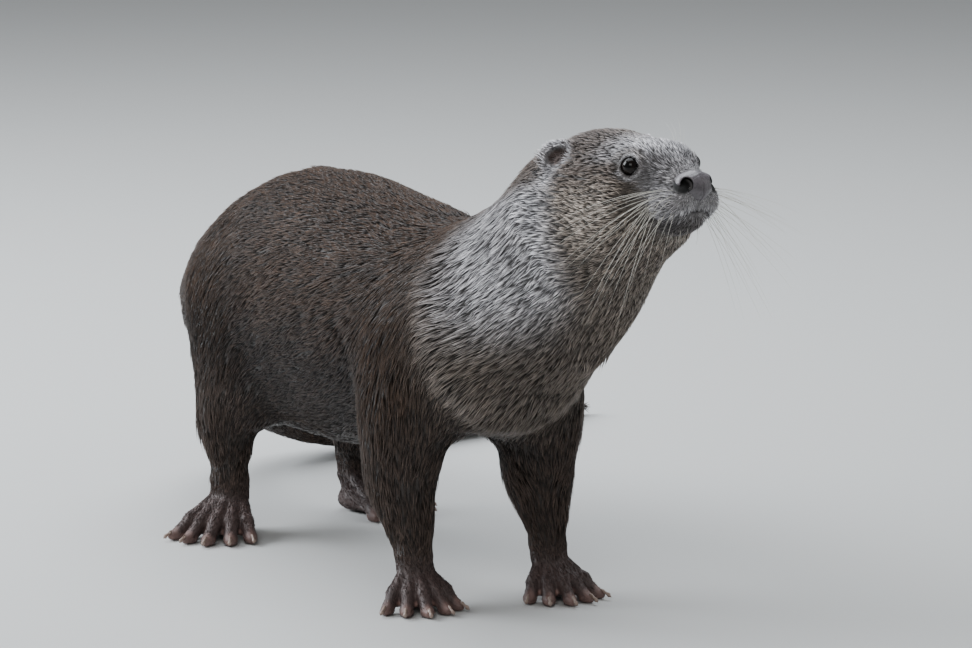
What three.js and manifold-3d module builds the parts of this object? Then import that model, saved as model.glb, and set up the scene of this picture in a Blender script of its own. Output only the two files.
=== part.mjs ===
// A river otter, life size, standing square on four webbed feet with its head raised and turned a
// little to its left, and its tail laid in a curve on the floor.
//
// Millimetres. +X is the way the body faces, +Y is the animal's left and +Z is up. The shape is one
// smooth field, "how far is this point outside the coat", built from tapering tubes and ellipsoids.
// Each part of the body is that field meshed at its own pitch, thinned to a triangle budget, and
// parted from its neighbours by a thin cut. The finished group stands with the middle of its
// footprint at the origin.
import * as THREE from "three";
import Module from "manifold-3d";
import { mergeVertices } from "three/addons/utils/BufferGeometryUtils.js";

const wasm = await Module();
wasm.setup();

// ---------------------------------------------------------------- driving dimensions

const GAP = 0.3; // clearance between neighbouring parts
const HALF_GAP = GAP / 2;
const HIP_X = -282; // the hips, behind the front feet at X = 0
const FORE_STANCE = 46; // each front wrist, out from the middle
const HIND_STANCE = 55; // each hind ankle, out from the middle
const EYE_PLACE = [150, 45, 304]; // midway between the eyes
const HEAD_YAW = 12; // degrees to the left of the body
const HEAD_PITCH = 10; // degrees nose up
const HEAD_ROLL = -3; // degrees about the nose, left side down
const EYE_RADIUS = 6.2;
const EYE_OFF = [-1, 24.5, 0]; // an eye's centre from the point midway between them
const SOCKET_RADIUS = EYE_RADIUS + GAP;
const CLAW_LENGTH = 8;
const CLAW_RADIUS = 1.5;
const CLAW_DROP = 3.2; // how far a claw curves down from root to point
const CLAW_LIFT = 0.6; // a claw's root, above the middle of its toe
const SOLE_SINK = 1.6; // how much of each sole and of the tail the floor cuts off flat

// ---------------------------------------------------------------- fields

const radians = THREE.MathUtils.degToRad;

// Two distances as one, with a fillet of about the given size between their surfaces.
function blend(a, b, size) {
  const near = Math.max(size - Math.abs(a - b), 0) / size;
  return Math.min(a, b) - (near * near * size) / 4;
}

// The distance from an ellipsoid's surface, near enough, from offsets along its three axes.
function ellipsoidDistance(a, b, c, ra, rb, rc) {
  const scaled = Math.hypot(a / ra, b / rb, c / rc);
  const slope = Math.hypot(a / ra ** 2, b / rb ** 2, c / rc ** 2);
  return slope < 1e-9 ? -Math.min(ra, rb, rc) : (scaled * (scaled - 1)) / slope;
}

// An ellipsoid field, with its own axes turned by the given degrees about X, Y and Z.
function blob(centre, radii, turn = [0, 0, 0]) {
  const euler = new THREE.Euler(...turn.map(radians), "ZYX");
  const m = new THREE.Matrix4().makeRotationFromEuler(euler).elements;
  return (x, y, z) => {
    const px = x - centre[0];
    const py = y - centre[1];
    const pz = z - centre[2];
    const a = px * m[0] + py * m[1] + pz * m[2];
    const b = px * m[4] + py * m[5] + pz * m[6];
    const c = px * m[8] + py * m[9] + pz * m[10];
    return ellipsoidDistance(a, b, c, ...radii);
  };
}

// A tube through stations [x, y, z, up, down, wide], with half sizes towards "over", away from it
// and to each side. Its ends are rounded over the lengths in "caps".
function tube(stations, { over = [0, 0, 1], caps = [10, 10], samples = 5 }) {
  const line = new THREE.CatmullRomCurve3(stations.map((s) => new THREE.Vector3(...s.slice(0, 3))));
  const size = new THREE.CatmullRomCurve3(stations.map((s) => new THREE.Vector3(...s.slice(3))));
  const count = (stations.length - 1) * samples;
  const rings = [];
  for (let i = 0; i <= count; i++) {
    const at = line.getPoint(i / count);
    const tangent = line.getTangent(i / count);
    const up = new THREE.Vector3(...over).addScaledVector(tangent, -tangent.dot(new THREE.Vector3(...over)));
    up.normalize();
    const side = new THREE.Vector3().crossVectors(up, tangent);
    rings.push({ at, tangent, up, side, size: size.getPoint(i / count) });
  }
  const steps = rings.slice(1).map((ring, i) => {
    const step = new THREE.Vector3().subVectors(ring.at, rings[i].at);
    return { step, square: step.lengthSq() };
  });
  const reach = Math.max(...stations.flatMap((s) => s.slice(3)), ...caps);
  const extent = new THREE.Box3().setFromPoints(rings.map((ring) => ring.at)).expandByScalar(reach);
  const field = (x, y, z) => {
    let best = Infinity;
    let index = 0;
    let share = 0;
    for (let i = 0; i < count; i++) {
      const { at } = rings[i];
      const { step, square } = steps[i];
      const px = x - at.x;
      const py = y - at.y;
      const pz = z - at.z;
      const along = (px * step.x + py * step.y + pz * step.z) / square;
      const h = Math.min(Math.max(along, 0), 1);
      const off = (px - h * step.x) ** 2 + (py - h * step.y) ** 2 + (pz - h * step.z) ** 2;
      if (off < best) {
        best = off;
        index = i;
        share = h;
      }
    }
    const a = rings[index];
    const b = rings[index + 1];
    const mix = (p, q) => p + (q - p) * share;
    const px = x - mix(a.at.x, b.at.x);
    const py = y - mix(a.at.y, b.at.y);
    const pz = z - mix(a.at.z, b.at.z);
    const rise = px * mix(a.up.x, b.up.x) + py * mix(a.up.y, b.up.y) + pz * mix(a.up.z, b.up.z);
    const off = px * mix(a.side.x, b.side.x) + py * mix(a.side.y, b.side.y) + pz * mix(a.side.z, b.side.z);
    const past = px * a.tangent.x + py * a.tangent.y + pz * a.tangent.z;
    const high = rise > 0 ? mix(a.size.x, b.size.x) : mix(a.size.y, b.size.y);
    const end = index === 0 && share === 0 ? caps[0] : caps[1];
    const atEnd = (index === 0 && share === 0) || (index === count - 1 && share === 1);
    return ellipsoidDistance(off, rise, atEnd ? past : 0, mix(a.size.z, b.size.z), high, end);
  };
  return near(field, extent.min.toArray(), extent.max.toArray());
}

// A field that only counts near its own box. Further off than any fillet reaches, the distance to
// the box stands in for it, which is quicker to work out.
const FAR = 48;
function near(field, low, high) {
  return (x, y, z) => {
    const dx = Math.max(low[0] - x, x - high[0], 0);
    const dy = Math.max(low[1] - y, y - high[1], 0);
    const dz = Math.max(low[2] - z, z - high[2], 0);
    const off = Math.hypot(dx, dy, dz);
    return off > FAR ? off : field(x, y, z);
  };
}

// Several fields as one, filleted together.
function merge(fields, size) {
  return (x, y, z) => {
    let d = fields[0](x, y, z);
    for (let i = 1; i < fields.length; i++) d = blend(d, fields[i](x, y, z), size);
    return d;
  };
}

// A field moved by a matrix.
function placed(field, matrix) {
  const m = matrix.clone().invert().elements;
  return (x, y, z) =>
    field(
      m[0] * x + m[4] * y + m[8] * z + m[12],
      m[1] * x + m[5] * y + m[9] * z + m[13],
      m[2] * x + m[6] * y + m[10] * z + m[14],
    );
}

// The same field for the other side of the body.
const mirrored = (field) => (x, y, z) => field(x, -y, z);

// ---------------------------------------------------------------- the body's fields

// Rump to chest: [x, y, z, up, down, wide].
const trunkField = tube(
  [
    [-378, 0, 150, 36, 44, 40],
    [-347, 0, 158, 54, 70, 56],
    [-304, 0, 164, 74, 90, 66],
    [-250, 0, 167, 90, 97, 71],
    [-190, 0, 168, 93, 97, 72],
    [-125, 0, 171, 87, 92, 70],
    [-70, 0, 176, 77, 80, 66],
    [-20, 0, 182, 66, 74, 64],
    [28, 0, 192, 56, 72, 63],
  ],
  { caps: [28, 30] },
);

const neckField = tube(
  [
    [-12, 0, 186, 52, 76, 57],
    [38, 10, 226, 46, 84, 59],
    [74, 24, 262, 40, 74, 54],
    [100, 32, 286, 34, 62, 46],
  ],
  { caps: [30, 30] },
);

const tailField = tube(
  [
    [-350, 0, 148, 42, 46, 44],
    [-400, 12, 116, 33, 33, 35],
    [-444, 42, 74, 27, 27, 30],
    [-474, 92, 38, 22, 23, 26],
    [-490, 155, 20, 19, 20, 23],
    [-498, 225, 16, 16, 16 + SOLE_SINK, 19],
    [-508, 295, 12, 12, 12 + SOLE_SINK, 14],
    [-530, 362, 7, 7, 7 + SOLE_SINK, 8],
  ],
  { caps: [30, 12] },
);

// Where each foot stands: its ankle, [x, out from the middle], and how far it points out, in
// degrees. Every limb is built as a left one.
const STANCES = {
  foreleg_left: { kind: "fore", side: 1, top: -10, at: [2, FORE_STANCE], turn: -6 },
  foreleg_right: { kind: "fore", side: -1, top: -24, at: [-10, FORE_STANCE + 1], turn: 14 },
  hindleg_left: { kind: "hind", side: 1, top: HIP_X, at: [HIP_X - 16, HIND_STANCE], turn: 28 },
  hindleg_right: { kind: "hind", side: -1, top: HIP_X, at: [HIP_X + 8, HIND_STANCE - 1], turn: 44 },
};

// A foreleg, shoulder to wrist: [x, y, z, fore, aft, wide].
const foreLegField = ({ top, at: [wristX, wristY] }) =>
  tube(
    [
      [top, 38, 166, 44, 46, 33],
      [top - 3, 45, 120, 40, 42, 32],
      [top * 0.6 + wristX * 0.4 - 8, 47, 84, 29, 35, 26],
      [wristX - 6, wristY, 56, 17, 23, 18],
      [wristX - 1, wristY, 33, 11.5, 12.5, 12],
    ],
    { over: [1, 0, 0], caps: [34, 10] },
  );

// A hind leg, haunch to ankle.
const hindLegField = ({ top, at: [ankleX, ankleY] }) =>
  tube(
    [
      [top - 4, 32, 160, 58, 54, 40],
      [top + 6, 46, 112, 48, 46, 33],
      [top * 0.7 + ankleX * 0.3 - 2, 52, 74, 28, 27, 23],
      [ankleX - 4, ankleY - 1, 50, 16, 16, 15],
      [ankleX - 1, ankleY, 30, 12, 12.5, 12.5],
    ],
    { over: [1, 0, 0], caps: [50, 10] },
  );

// ---------------------------------------------------------------- the feet

// A foot in its own frame: its ankle over the origin, its toes along +X, its outer side +Y.
const FEET = {
  fore: {
    palm: [15, 12.5, 8],
    root: 10,
    spread: 5.2,
    length: 30,
    toe: 4.3,
    knuckle: 12.5,
    instep: 24,
    fan: 18,
  },
  hind: {
    palm: [22, 15, 9],
    root: 17,
    spread: 6.2,
    length: 37,
    toe: 4.7,
    knuckle: 13,
    instep: 25,
    fan: 15.5,
  },
};
const TOES = [-2, -1, 0, 1, 2]; // inner to outer
const TOE_LENGTHS = [0.8, 0.95, 1, 0.98, 0.88]; // the inner toe is the shortest
const HEEL = { top: 30, topRadius: 12, lowRadius: 10.5 };
const WEB_HEIGHT = 4.6;

// A toe's knuckle, pad and tip, in the foot's frame.
function toeLine(foot, toe) {
  const length = foot.length * TOE_LENGTHS[toe + 2];
  const angle = radians(foot.fan * toe);
  const root = [foot.root - Math.abs(toe) * 2.6, foot.spread * toe];
  const at = (s, z) => [root[0] + Math.cos(angle) * length * s, root[1] + Math.sin(angle) * length * s, z];
  const low = foot.toe - SOLE_SINK;
  return { root: at(0, 11), knuckle: at(0.45, foot.knuckle), pad: at(0.86, low), tip: at(1, low), angle };
}

// A round rod from a to b.
function rod(a, b, ra, rb) {
  const step = [b[0] - a[0], b[1] - a[1], b[2] - a[2]];
  const square = step[0] ** 2 + step[1] ** 2 + step[2] ** 2;
  return (x, y, z) => {
    const px = x - a[0];
    const py = y - a[1];
    const pz = z - a[2];
    const h = Math.min(Math.max((px * step[0] + py * step[1] + pz * step[2]) / square, 0), 1);
    return Math.hypot(px - h * step[0], py - h * step[1], pz - h * step[2]) - (ra + (rb - ra) * h);
  };
}

function toeField(foot, toe) {
  const { knuckle, pad, tip } = toeLine(foot, toe);
  const ankle = [1, foot.spread * 0.5 * toe, foot.instep];
  return merge(
    [
      rod(ankle, knuckle, foot.toe * 1.3, foot.toe * 0.98),
      rod(knuckle, pad, foot.toe * 0.98, foot.toe),
      rod(pad, tip, foot.toe, foot.toe * 0.72),
    ],
    2.5,
  );
}

// The skin between two neighbouring toes.
function webField(foot, toe) {
  const a = toeLine(foot, toe);
  const b = toeLine(foot, toe + 1);
  const middle = (p, q) => [(p[0] + q[0]) / 2, (p[1] + q[1]) / 2];
  const heel = middle(a.root, b.root);
  const edge = middle(a.knuckle, b.knuckle);
  const centre = [...middle(heel, edge), WEB_HEIGHT];
  const long = Math.hypot(edge[0] - heel[0], edge[1] - heel[1]) / 2 + 6;
  return blob(centre, [long, foot.spread + 1, 2.4], [0, 0, foot.fan * (toe + 0.5)]);
}

function footField(foot) {
  const [long, wide, high] = foot.palm;
  const palm = blob([long * 0.35, 0, high - SOLE_SINK], [long, wide, high]);
  const heel = rod([-1, 0, HEEL.top], [2, 0, HEEL.lowRadius], HEEL.topRadius, HEEL.lowRadius);
  const toes = merge(TOES.map((toe) => toeField(foot, toe)), 1.5);
  const webs = merge(TOES.slice(0, 4).map((toe) => webField(foot, toe)), 2);
  const body = merge([palm, heel], 7);
  const all = (x, y, z) => blend(blend(body(x, y, z), toes(x, y, z), 4), webs(x, y, z), 2);
  return near(all, [-20, -50, 0], [80, 50, 42]);
}

function footMatrix({ at, turn }) {
  return new THREE.Matrix4().makeRotationZ(radians(turn)).setPosition(at[0], at[1], 0);
}

// ---------------------------------------------------------------- the head

// In the head's own frame: the nose along +X, the origin midway between the eyes.
const headMatrix = new THREE.Matrix4()
  .makeRotationFromEuler(new THREE.Euler(radians(HEAD_ROLL), radians(-HEAD_PITCH), radians(HEAD_YAW), "ZYX"))
  .setPosition(...EYE_PLACE);

const both = (make) => [make(1), make(-1)];

const skull = tube(
  [
    [-92, 0, -12, 30, 46, 36],
    [-68, 0, -8, 31, 46, 38],
    [-44, 0, -6, 29.5, 47, 38],
    [-20, 0, -6, 26, 46, 34],
    [0, 0, -7, 20, 40, 25.5],
    [15, 0, -10, 10, 31, 21],
    [27, 0, -16, 7, 19, 17],
  ],
  { caps: [24, 9] },
);
const cheeks = both((side) => blob([-32, side * 25, -22], [30, 18, 28], [0, 0, side * 12]));
const whiskerPads = both((side) => blob([19.5, side * 12, -25], [15, 12, 11], [0, -6, -side * 14]));
const brows = both((side) => blob([-5, side * 15, 8], [15, 8, 6], [0, 14, -side * 10]));
const chin = blob([15, 0, -36], [17, 13, 9], [0, -8, 0]);
const bridge = blob([9, 0, -4], [20, 10, 7], [0, 18, 0]);
const sockets = both((side) => blob([-3, side * 21.5, -0.5], [10, 6.5, 8.5]));

const headCoat = (() => {
  const solid = merge([skull, ...cheeks, ...brows, bridge, ...sockets], 8);
  const muzzle = merge([...whiskerPads, chin], 4);
  const all = (x, y, z) => blend(solid(x, y, z), muzzle(x, y, z), 6);
  return near(all, [-118, -52, -58], [48, 52, 36]);
})();

const noseField = merge(
  [
    blob([28.5, 0, -12.5], [9, 10.5, 7.5], [0, 24, 0]),
    ...both((side) => blob([28, side * 7.4, -14.5], [8, 5.6, 6])),
    blob([33, 0, -20], [5, 5, 5.5]),
  ],
  3,
);

// An ear is a small thick cup that opens forwards and outwards.
const EAR = [-53, 37, 9];
const earField = (side) => {
  const [x, y, z] = EAR;
  const shell = blob([x, side * y, z], [6.5, 11, 12.5], [side * -34, -12, side * 20]);
  const hollow = blob([x + 7, side * (y + 2.5), z], [7, 7.2, 8.6], [side * -34, -12, side * 20]);
  return (px, py, pz) => -blend(-shell(px, py, pz), hollow(px, py, pz), 2.5);
};

const headField = placed(headCoat, headMatrix);

// ---------------------------------------------------------------- the whole coat

const limbs = Object.values(STANCES).map((stance) => {
  const leg = (stance.kind === "fore" ? foreLegField : hindLegField)(stance);
  const foot = placed(footField(FEET[stance.kind]), footMatrix(stance));
  const limb = (x, y, z) => blend(leg(x, y, z), foot(x, y, z), 8);
  return stance.side > 0 ? limb : mirrored(limb);
});

function coatField(x, y, z) {
  let d = blend(trunkField(x, y, z), neckField(x, y, z), 28);
  d = blend(d, headField(x, y, z), 18);
  d = blend(d, tailField(x, y, z), 26);
  for (const limb of limbs) d = blend(d, limb(x, y, z), 20);
  return d;
}

// ---------------------------------------------------------------- meshing a field

// The surface where the field is "level", inside the box [low, high], by marching tetrahedra on a
// grid of the given pitch. The box's own sides close it.
function surface(field, low, high, pitch, level = 0) {
  const count = low.map((l, i) => Math.ceil((high[i] - l) / pitch) + 1);
  const [nx, ny, nz] = count;
  const value = new Float64Array(nx * ny * nz);
  const index = (i, j, k) => i + nx * (j + ny * k);
  for (let k = 0; k < nz; k++)
    for (let j = 0; j < ny; j++)
      for (let i = 0; i < nx; i++) {
        const edge = i === 0 || j === 0 || k === 0 || i === nx - 1 || j === ny - 1 || k === nz - 1;
        const d = field(low[0] + i * pitch, low[1] + j * pitch, low[2] + k * pitch) - level;
        value[index(i, j, k)] = edge ? Math.max(d, pitch / 2) : d || 1e-6;
      }
  const corner = [0, 1, nx, nx + 1, nx * ny, nx * ny + 1, nx * ny + nx, nx * ny + nx + 1];
  // The six tetrahedra round a cube's long diagonal, each a path from corner 0 to corner 7.
  const paths = [[1, 3], [1, 5], [2, 3], [2, 6], [4, 5], [4, 6]].map(([a, b]) => [0, a, b, 7]);
  const points = [];
  const triangles = [];
  const made = new Map();
  const place = (n) => [
    low[0] + (n % nx) * pitch,
    low[1] + (Math.floor(n / nx) % ny) * pitch,
    low[2] + Math.floor(n / (nx * ny)) * pitch,
  ];
  const cut = (base, a, b) => {
    const from = base + corner[Math.min(a, b)];
    const to = base + corner[Math.max(a, b)];
    const key = from * 8 + (a ^ b);
    if (made.has(key)) return made.get(key);
    const share = THREE.MathUtils.clamp(value[from] / (value[from] - value[to]), 0.04, 0.96);
    const p = place(from);
    const q = place(to);
    points.push(p.map((c, i) => c + (q[i] - c) * share));
    made.set(key, points.length - 1);
    return points.length - 1;
  };
  const face = (a, b, c, inner, outer) => {
    const [p, q, r] = [points[a], points[b], points[c]];
    const u = q.map((v, i) => v - p[i]);
    const w = r.map((v, i) => v - p[i]);
    const normal = [u[1] * w[2] - u[2] * w[1], u[2] * w[0] - u[0] * w[2], u[0] * w[1] - u[1] * w[0]];
    const [s, t] = [place(inner), place(outer)];
    const facing = normal.reduce((sum, v, i) => sum + v * (t[i] - s[i]), 0);
    triangles.push(facing > 0 ? [a, b, c] : [a, c, b]);
  };
  for (let k = 0; k < nz - 1; k++)
    for (let j = 0; j < ny - 1; j++)
      for (let i = 0; i < nx - 1; i++) {
        const base = index(i, j, k);
        const inside = corner.map((c) => value[base + c] < 0);
        if (inside.every((v) => v === inside[0])) continue;
        for (const path of paths) {
          const ins = path.filter((c) => inside[c]);
          const outs = path.filter((c) => !inside[c]);
          if (!ins.length || !outs.length) continue;
          const ends = [base + corner[ins[0]], base + corner[outs[0]]];
          if (ins.length === 2) {
            const ring = [[0, 0], [0, 1], [1, 1], [1, 0]].map(([a, b]) => cut(base, ins[a], outs[b]));
            face(ring[0], ring[1], ring[2], ...ends);
            face(ring[0], ring[2], ring[3], ...ends);
          } else {
            const ring = ins.flatMap((a) => outs.map((b) => cut(base, a, b)));
            face(...ring, ...ends);
          }
        }
      }
  return { points, triangles };
}

// A binary heap of [cost, ...] entries, the cheapest first.
class Heap {
  entries = [];

  push(entry) {
    const e = this.entries;
    let at = e.push(entry) - 1;
    while (at > 0) {
      const parent = (at - 1) >> 1;
      if (e[parent][0] <= entry[0]) break;
      e[at] = e[parent];
      at = parent;
    }
    e[at] = entry;
  }

  pop() {
    const e = this.entries;
    const top = e[0];
    const last = e.pop();
    if (!e.length) return top;
    let at = 0;
    for (;;) {
      let child = 2 * at + 1;
      if (child >= e.length) break;
      if (child + 1 < e.length && e[child + 1][0] < e[child][0]) child += 1;
      if (e[child][0] >= last[0]) break;
      e[at] = e[child];
      at = child;
    }
    e[at] = last;
    return top;
  }
}

const minus = (p, q) => [p[0] - q[0], p[1] - q[1], p[2] - q[2]];
const dot = (p, q) => p[0] * q[0] + p[1] * q[1] + p[2] * q[2];
const cross = (p, q) => [p[1] * q[2] - p[2] * q[1], p[2] * q[0] - p[0] * q[2], p[0] * q[1] - p[1] * q[0]];

// Thins a closed mesh to a number of triangles by collapsing its cheapest edges, as measured by
// quadric error, so that flat stretches give up their triangles first.
function thinned({ points, triangles }, target) {
  const at = points.map((p) => p.slice());
  const faces = triangles.map((t) => t.slice());
  const around = at.map(() => new Set());
  const quadrics = at.map(() => new Float64Array(10));
  const normalOf = (a, b, c) => cross(minus(b, a), minus(c, a));
  faces.forEach((face, f) => {
    const normal = normalOf(...face.map((v) => at[v]));
    const twice = Math.hypot(...normal) || 1e-12;
    const [a, b, c] = normal.map((v) => v / twice);
    const d = -dot([a, b, c], at[face[0]]);
    const plane = [a * a, a * b, a * c, a * d, b * b, b * c, b * d, c * c, c * d, d * d];
    for (const v of face) {
      around[v].add(f);
      plane.forEach((term, i) => (quadrics[v][i] += term * twice));
    }
  });
  const errorAt = (q, [x, y, z]) =>
    q[0] * x * x + 2 * q[1] * x * y + 2 * q[2] * x * z + 2 * q[3] * x + q[4] * y * y +
    2 * q[5] * y * z + 2 * q[6] * y + q[7] * z * z + 2 * q[8] * z + q[9];
  // Where a collapsed edge's point goes: the least error, or the middle where that isn't steady.
  const target3 = (q, p, r) => {
    const middle = p.map((v, i) => (v + r[i]) / 2);
    const rows = [[q[0], q[1], q[2]], [q[1], q[4], q[5]], [q[2], q[5], q[7]]];
    const right = [-q[3], -q[6], -q[8]];
    const det = dot(rows[0], cross(rows[1], rows[2]));
    const scale = (q[0] + q[4] + q[7]) ** 3;
    if (Math.abs(det) < 1e-4 * scale) return middle;
    const columns = [0, 1, 2].map((i) => rows.map((row) => row[i]));
    const solve = (i) => {
      const c = columns.map((column, j) => (j === i ? right : column));
      return dot(c[0], cross(c[1], c[2])) / det;
    };
    const best = [solve(0), solve(1), solve(2)];
    const span = Math.hypot(...minus(p, r));
    return Math.hypot(...minus(best, middle)) < span * 1.5 ? best : middle;
  };
  const stamp = new Int32Array(at.length);
  const heap = new Heap();
  const SHORT_FIRST = 3e-3; // prefers short edges a little, which keeps triangles from growing thin
  const offer = (a, b) => {
    const q = quadrics[a].map((v, i) => v + quadrics[b][i]);
    const spot = target3(q, at[a], at[b]);
    const length = dot(minus(at[a], at[b]), minus(at[a], at[b]));
    heap.push([errorAt(q, spot) + SHORT_FIRST * length * length, a, b, stamp[a], stamp[b], spot, q]);
  };
  const neighbours = (v) => {
    const found = new Set();
    for (const f of around[v]) for (const w of faces[f]) if (w !== v) found.add(w);
    return found;
  };
  at.forEach((_, v) => {
    for (const w of neighbours(v)) if (w > v) offer(v, w);
  });
  // Whether the faces round v that stay keep facing their way once v is at "spot".
  const keepsFacing = (v, gone, spot) => {
    for (const f of around[v]) {
      if (faces[f].includes(gone)) continue;
      const before = normalOf(...faces[f].map((w) => at[w]));
      const after = normalOf(...faces[f].map((w) => (w === v ? spot : at[w])));
      if (dot(before, after) < 0.3 * Math.hypot(...before) * Math.hypot(...after)) return false;
    }
    return true;
  };
  let left = faces.length;
  while (left > target && heap.entries.length) {
    const [, a, b, stampA, stampB, spot, q] = heap.pop();
    if (stamp[a] !== stampA || stamp[b] !== stampB) continue;
    const ring = neighbours(b);
    const shared = [...neighbours(a)].filter((w) => ring.has(w));
    if (shared.length !== 2 || !keepsFacing(a, b, spot) || !keepsFacing(b, a, spot)) continue;
    for (const f of around[b]) {
      if (faces[f].includes(a)) {
        for (const w of faces[f]) if (w !== b) around[w].delete(f);
        faces[f] = null;
        left -= 1;
      } else {
        faces[f] = faces[f].map((w) => (w === b ? a : w));
        around[a].add(f);
      }
    }
    around[b] = new Set();
    stamp[b] = -1;
    stamp[a] += 1;
    at[a] = spot;
    quadrics[a] = q;
    for (const w of neighbours(a)) offer(a, w);
  }
  return { points: at, triangles: faces.filter((face) => face) };
}

// ---------------------------------------------------------------- solids and cuts

function solidOf({ points, triangles }) {
  const used = new Map();
  const vertices = [];
  const triVerts = Uint32Array.from(triangles.flat(), (v) => {
    if (!used.has(v)) used.set(v, vertices.push(...points[v]) / 3 - 1);
    return used.get(v);
  });
  return new wasm.Manifold(new wasm.Mesh({ numProp: 3, vertProperties: Float32Array.from(vertices), triVerts }));
}

function solidFrom(geometry, matrix = new THREE.Matrix4()) {
  const bare = geometry.clone().applyMatrix4(matrix);
  bare.deleteAttribute("normal");
  bare.deleteAttribute("uv");
  const merged = mergeVertices(bare, 1e-4);
  const position = merged.getAttribute("position").array;
  const mesh = new wasm.Mesh({ numProp: 3, vertProperties: position, triVerts: Uint32Array.from(merged.index.array) });
  return new wasm.Manifold(mesh);
}

const BIG = 2000; // longer than the animal

// Everything on one side of a plane: from the point onwards in that direction.
function beyond(point, direction) {
  const way = new THREE.Vector3(...direction).normalize();
  const turn = new THREE.Quaternion().setFromUnitVectors(new THREE.Vector3(1, 0, 0), way);
  const centre = new THREE.Vector3(...point).addScaledVector(way, BIG / 2);
  const matrix = new THREE.Matrix4().compose(centre, turn, new THREE.Vector3(1, 1, 1));
  return solidFrom(new THREE.BoxGeometry(BIG, BIG, BIG), matrix);
}

// Keeps what lies before a plane, or what lies beyond it, half a gap clear of it.
function before(solid, { point, way }) {
  const length = Math.hypot(...way);
  return solid.subtract(beyond(point.map((v, i) => v - (way[i] / length) * HALF_GAP), way));
}

const after = (solid, { point, way }) => before(solid, { point, way: way.map((v) => -v) });

// The largest piece of a solid, which drops any crumb that a cut leaves.
function mainPiece(solid) {
  return solid.decompose().reduce((a, b) => (b.volume() > a.volume() ? b : a));
}

const floor = beyond([0, 0, 0], [0, 0, -1]);

// The coat in a box, as a solid of about that many triangles.
function coatIn(low, high, pitch, budget) {
  return solidOf(thinned(surface(coatField, low, high, pitch), budget)).subtract(floor);
}

// ---------------------------------------------------------------- where the parts meet

const headAxis = new THREE.Vector3(1, 0, 0).transformDirection(headMatrix).toArray();
const NAPE = { point: [86, 28, 286], way: headAxis };
const COLLAR = { point: [26, 4, 214], way: [0.78, 0.1, 0.62] };
const TAIL_ROOT = { point: [-376, 0, 140], way: [-1, 0, 0] };
const TAIL_BEND = { point: [-481, 118, 30], way: [-0.2, 1, 0] };
const WRIST = { point: [0, 0, 23], way: [0, 0, -1] };
const ANKLE = { point: [0, 0, 27], way: [0, 0, -1] };

// The room a left leg takes out of the trunk: a drum through the shoulder or haunch, leaning
// outwards and down, and a box below the chest or belly. "grow" widens it all round.
const SHOULDER = { centre: [-22, 24, 158], lean: [0, 0.86, -0.51], radius: 46, reach: [-60, 74], low: 100 };
const HAUNCH = { centre: [HIP_X - 4, 26, 140], lean: [0, 0.9, -0.44], radius: 60, reach: [-374, -195], low: 70 };
const DRUM_SIDES = 22;
const DRUM_LENGTH = 160;

function legRoom({ centre, lean, radius, reach, low }, grow) {
  const way = new THREE.Vector3(...lean).normalize();
  const turn = new THREE.Quaternion().setFromUnitVectors(new THREE.Vector3(0, 1, 0), way);
  const middle = new THREE.Vector3(...centre).addScaledVector(way, DRUM_LENGTH / 2 - grow);
  const drum = new THREE.CylinderGeometry(radius + grow, radius + grow, DRUM_LENGTH, DRUM_SIDES);
  const drumMatrix = new THREE.Matrix4().compose(middle, turn, new THREE.Vector3(1, 1, 1));
  const long = reach[1] - reach[0] + 2 * grow;
  const tall = low + GAP + grow;
  const block = new THREE.BoxGeometry(long, DRUM_LENGTH, tall);
  const blockMatrix = new THREE.Matrix4().makeTranslation(
    (reach[0] + reach[1]) / 2,
    DRUM_LENGTH / 2 + HALF_GAP - grow,
    tall / 2 - GAP,
  );
  const room = solidFrom(drum, drumMatrix).add(solidFrom(block, blockMatrix));
  return room.subtract(beyond([0, HALF_GAP - grow, 0], [0, -1, 0]));
}

// ---------------------------------------------------------------- the parts

const pieces = {};

const headCoarse = coatIn([60, -35, 178], [205, 115, 350], 3.4, 1900);
let head = after(headCoarse, NAPE);
const neckRough = coatIn([-15, -75, 120], [112, 105, 345], 6, 620);
pieces.neck = mainPiece(after(before(neckRough, NAPE), COLLAR));

const trunkRough = coatIn([-420, -92, 48], [75, 92, 290], 7, 1000);
let trunk = before(before(trunkRough, COLLAR), TAIL_ROOT);

const LEG_CUTS = {
  fore: { room: SHOULDER, joint: WRIST, box: [[-102, -2, 8], [76, 92, 222]] },
  hind: { room: HAUNCH, joint: ANKLE, box: [[-376, -2, 10], [-185, 100, 232]] },
};
const LEG_PITCH = 5.5;
const LEG_BUDGET = 290;
const FOOT_PITCH = 1.7;
const FOOT_BUDGET = 465;
const FOOT_REACH = 72; // from a foot's ankle to the tips of its toes, and some air

for (const [name, { kind, side, at }] of Object.entries(STANCES)) {
  const { room, joint, box } = LEG_CUTS[kind];
  const place = (solid) => (side > 0 ? solid : solid.mirror([0, 1, 0]));
  const span = ([low, high]) =>
    side > 0 ? [low, high] : [[low[0], -high[1], low[2]], [high[0], -low[1], high[2]]];
  const [x, y] = at;
  const footBox = [[x - 44, y - 56, -3], [x + FOOT_REACH, y + FOOT_REACH, joint.point[2] + 8]];
  const space = place(legRoom(room, 0));
  const leg = coatIn(...span(box), LEG_PITCH, LEG_BUDGET).intersect(space);
  const foot = coatIn(...span(footBox), FOOT_PITCH, FOOT_BUDGET).intersect(space);
  pieces[name] = mainPiece(before(leg, joint));
  pieces[name.replace("leg", "foot")] = mainPiece(after(foot, joint));
  trunk = trunk.subtract(place(legRoom(room, GAP)));
}
pieces.trunk = mainPiece(trunk);

const tailRough = coatIn([-570, -60, -4], [-365, 395, 205], 5.5, 540);
pieces.tail_base = mainPiece(before(after(tailRough, TAIL_ROOT), TAIL_BEND));
pieces.tail_end = mainPiece(after(after(tailRough, TAIL_ROOT), TAIL_BEND));

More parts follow.
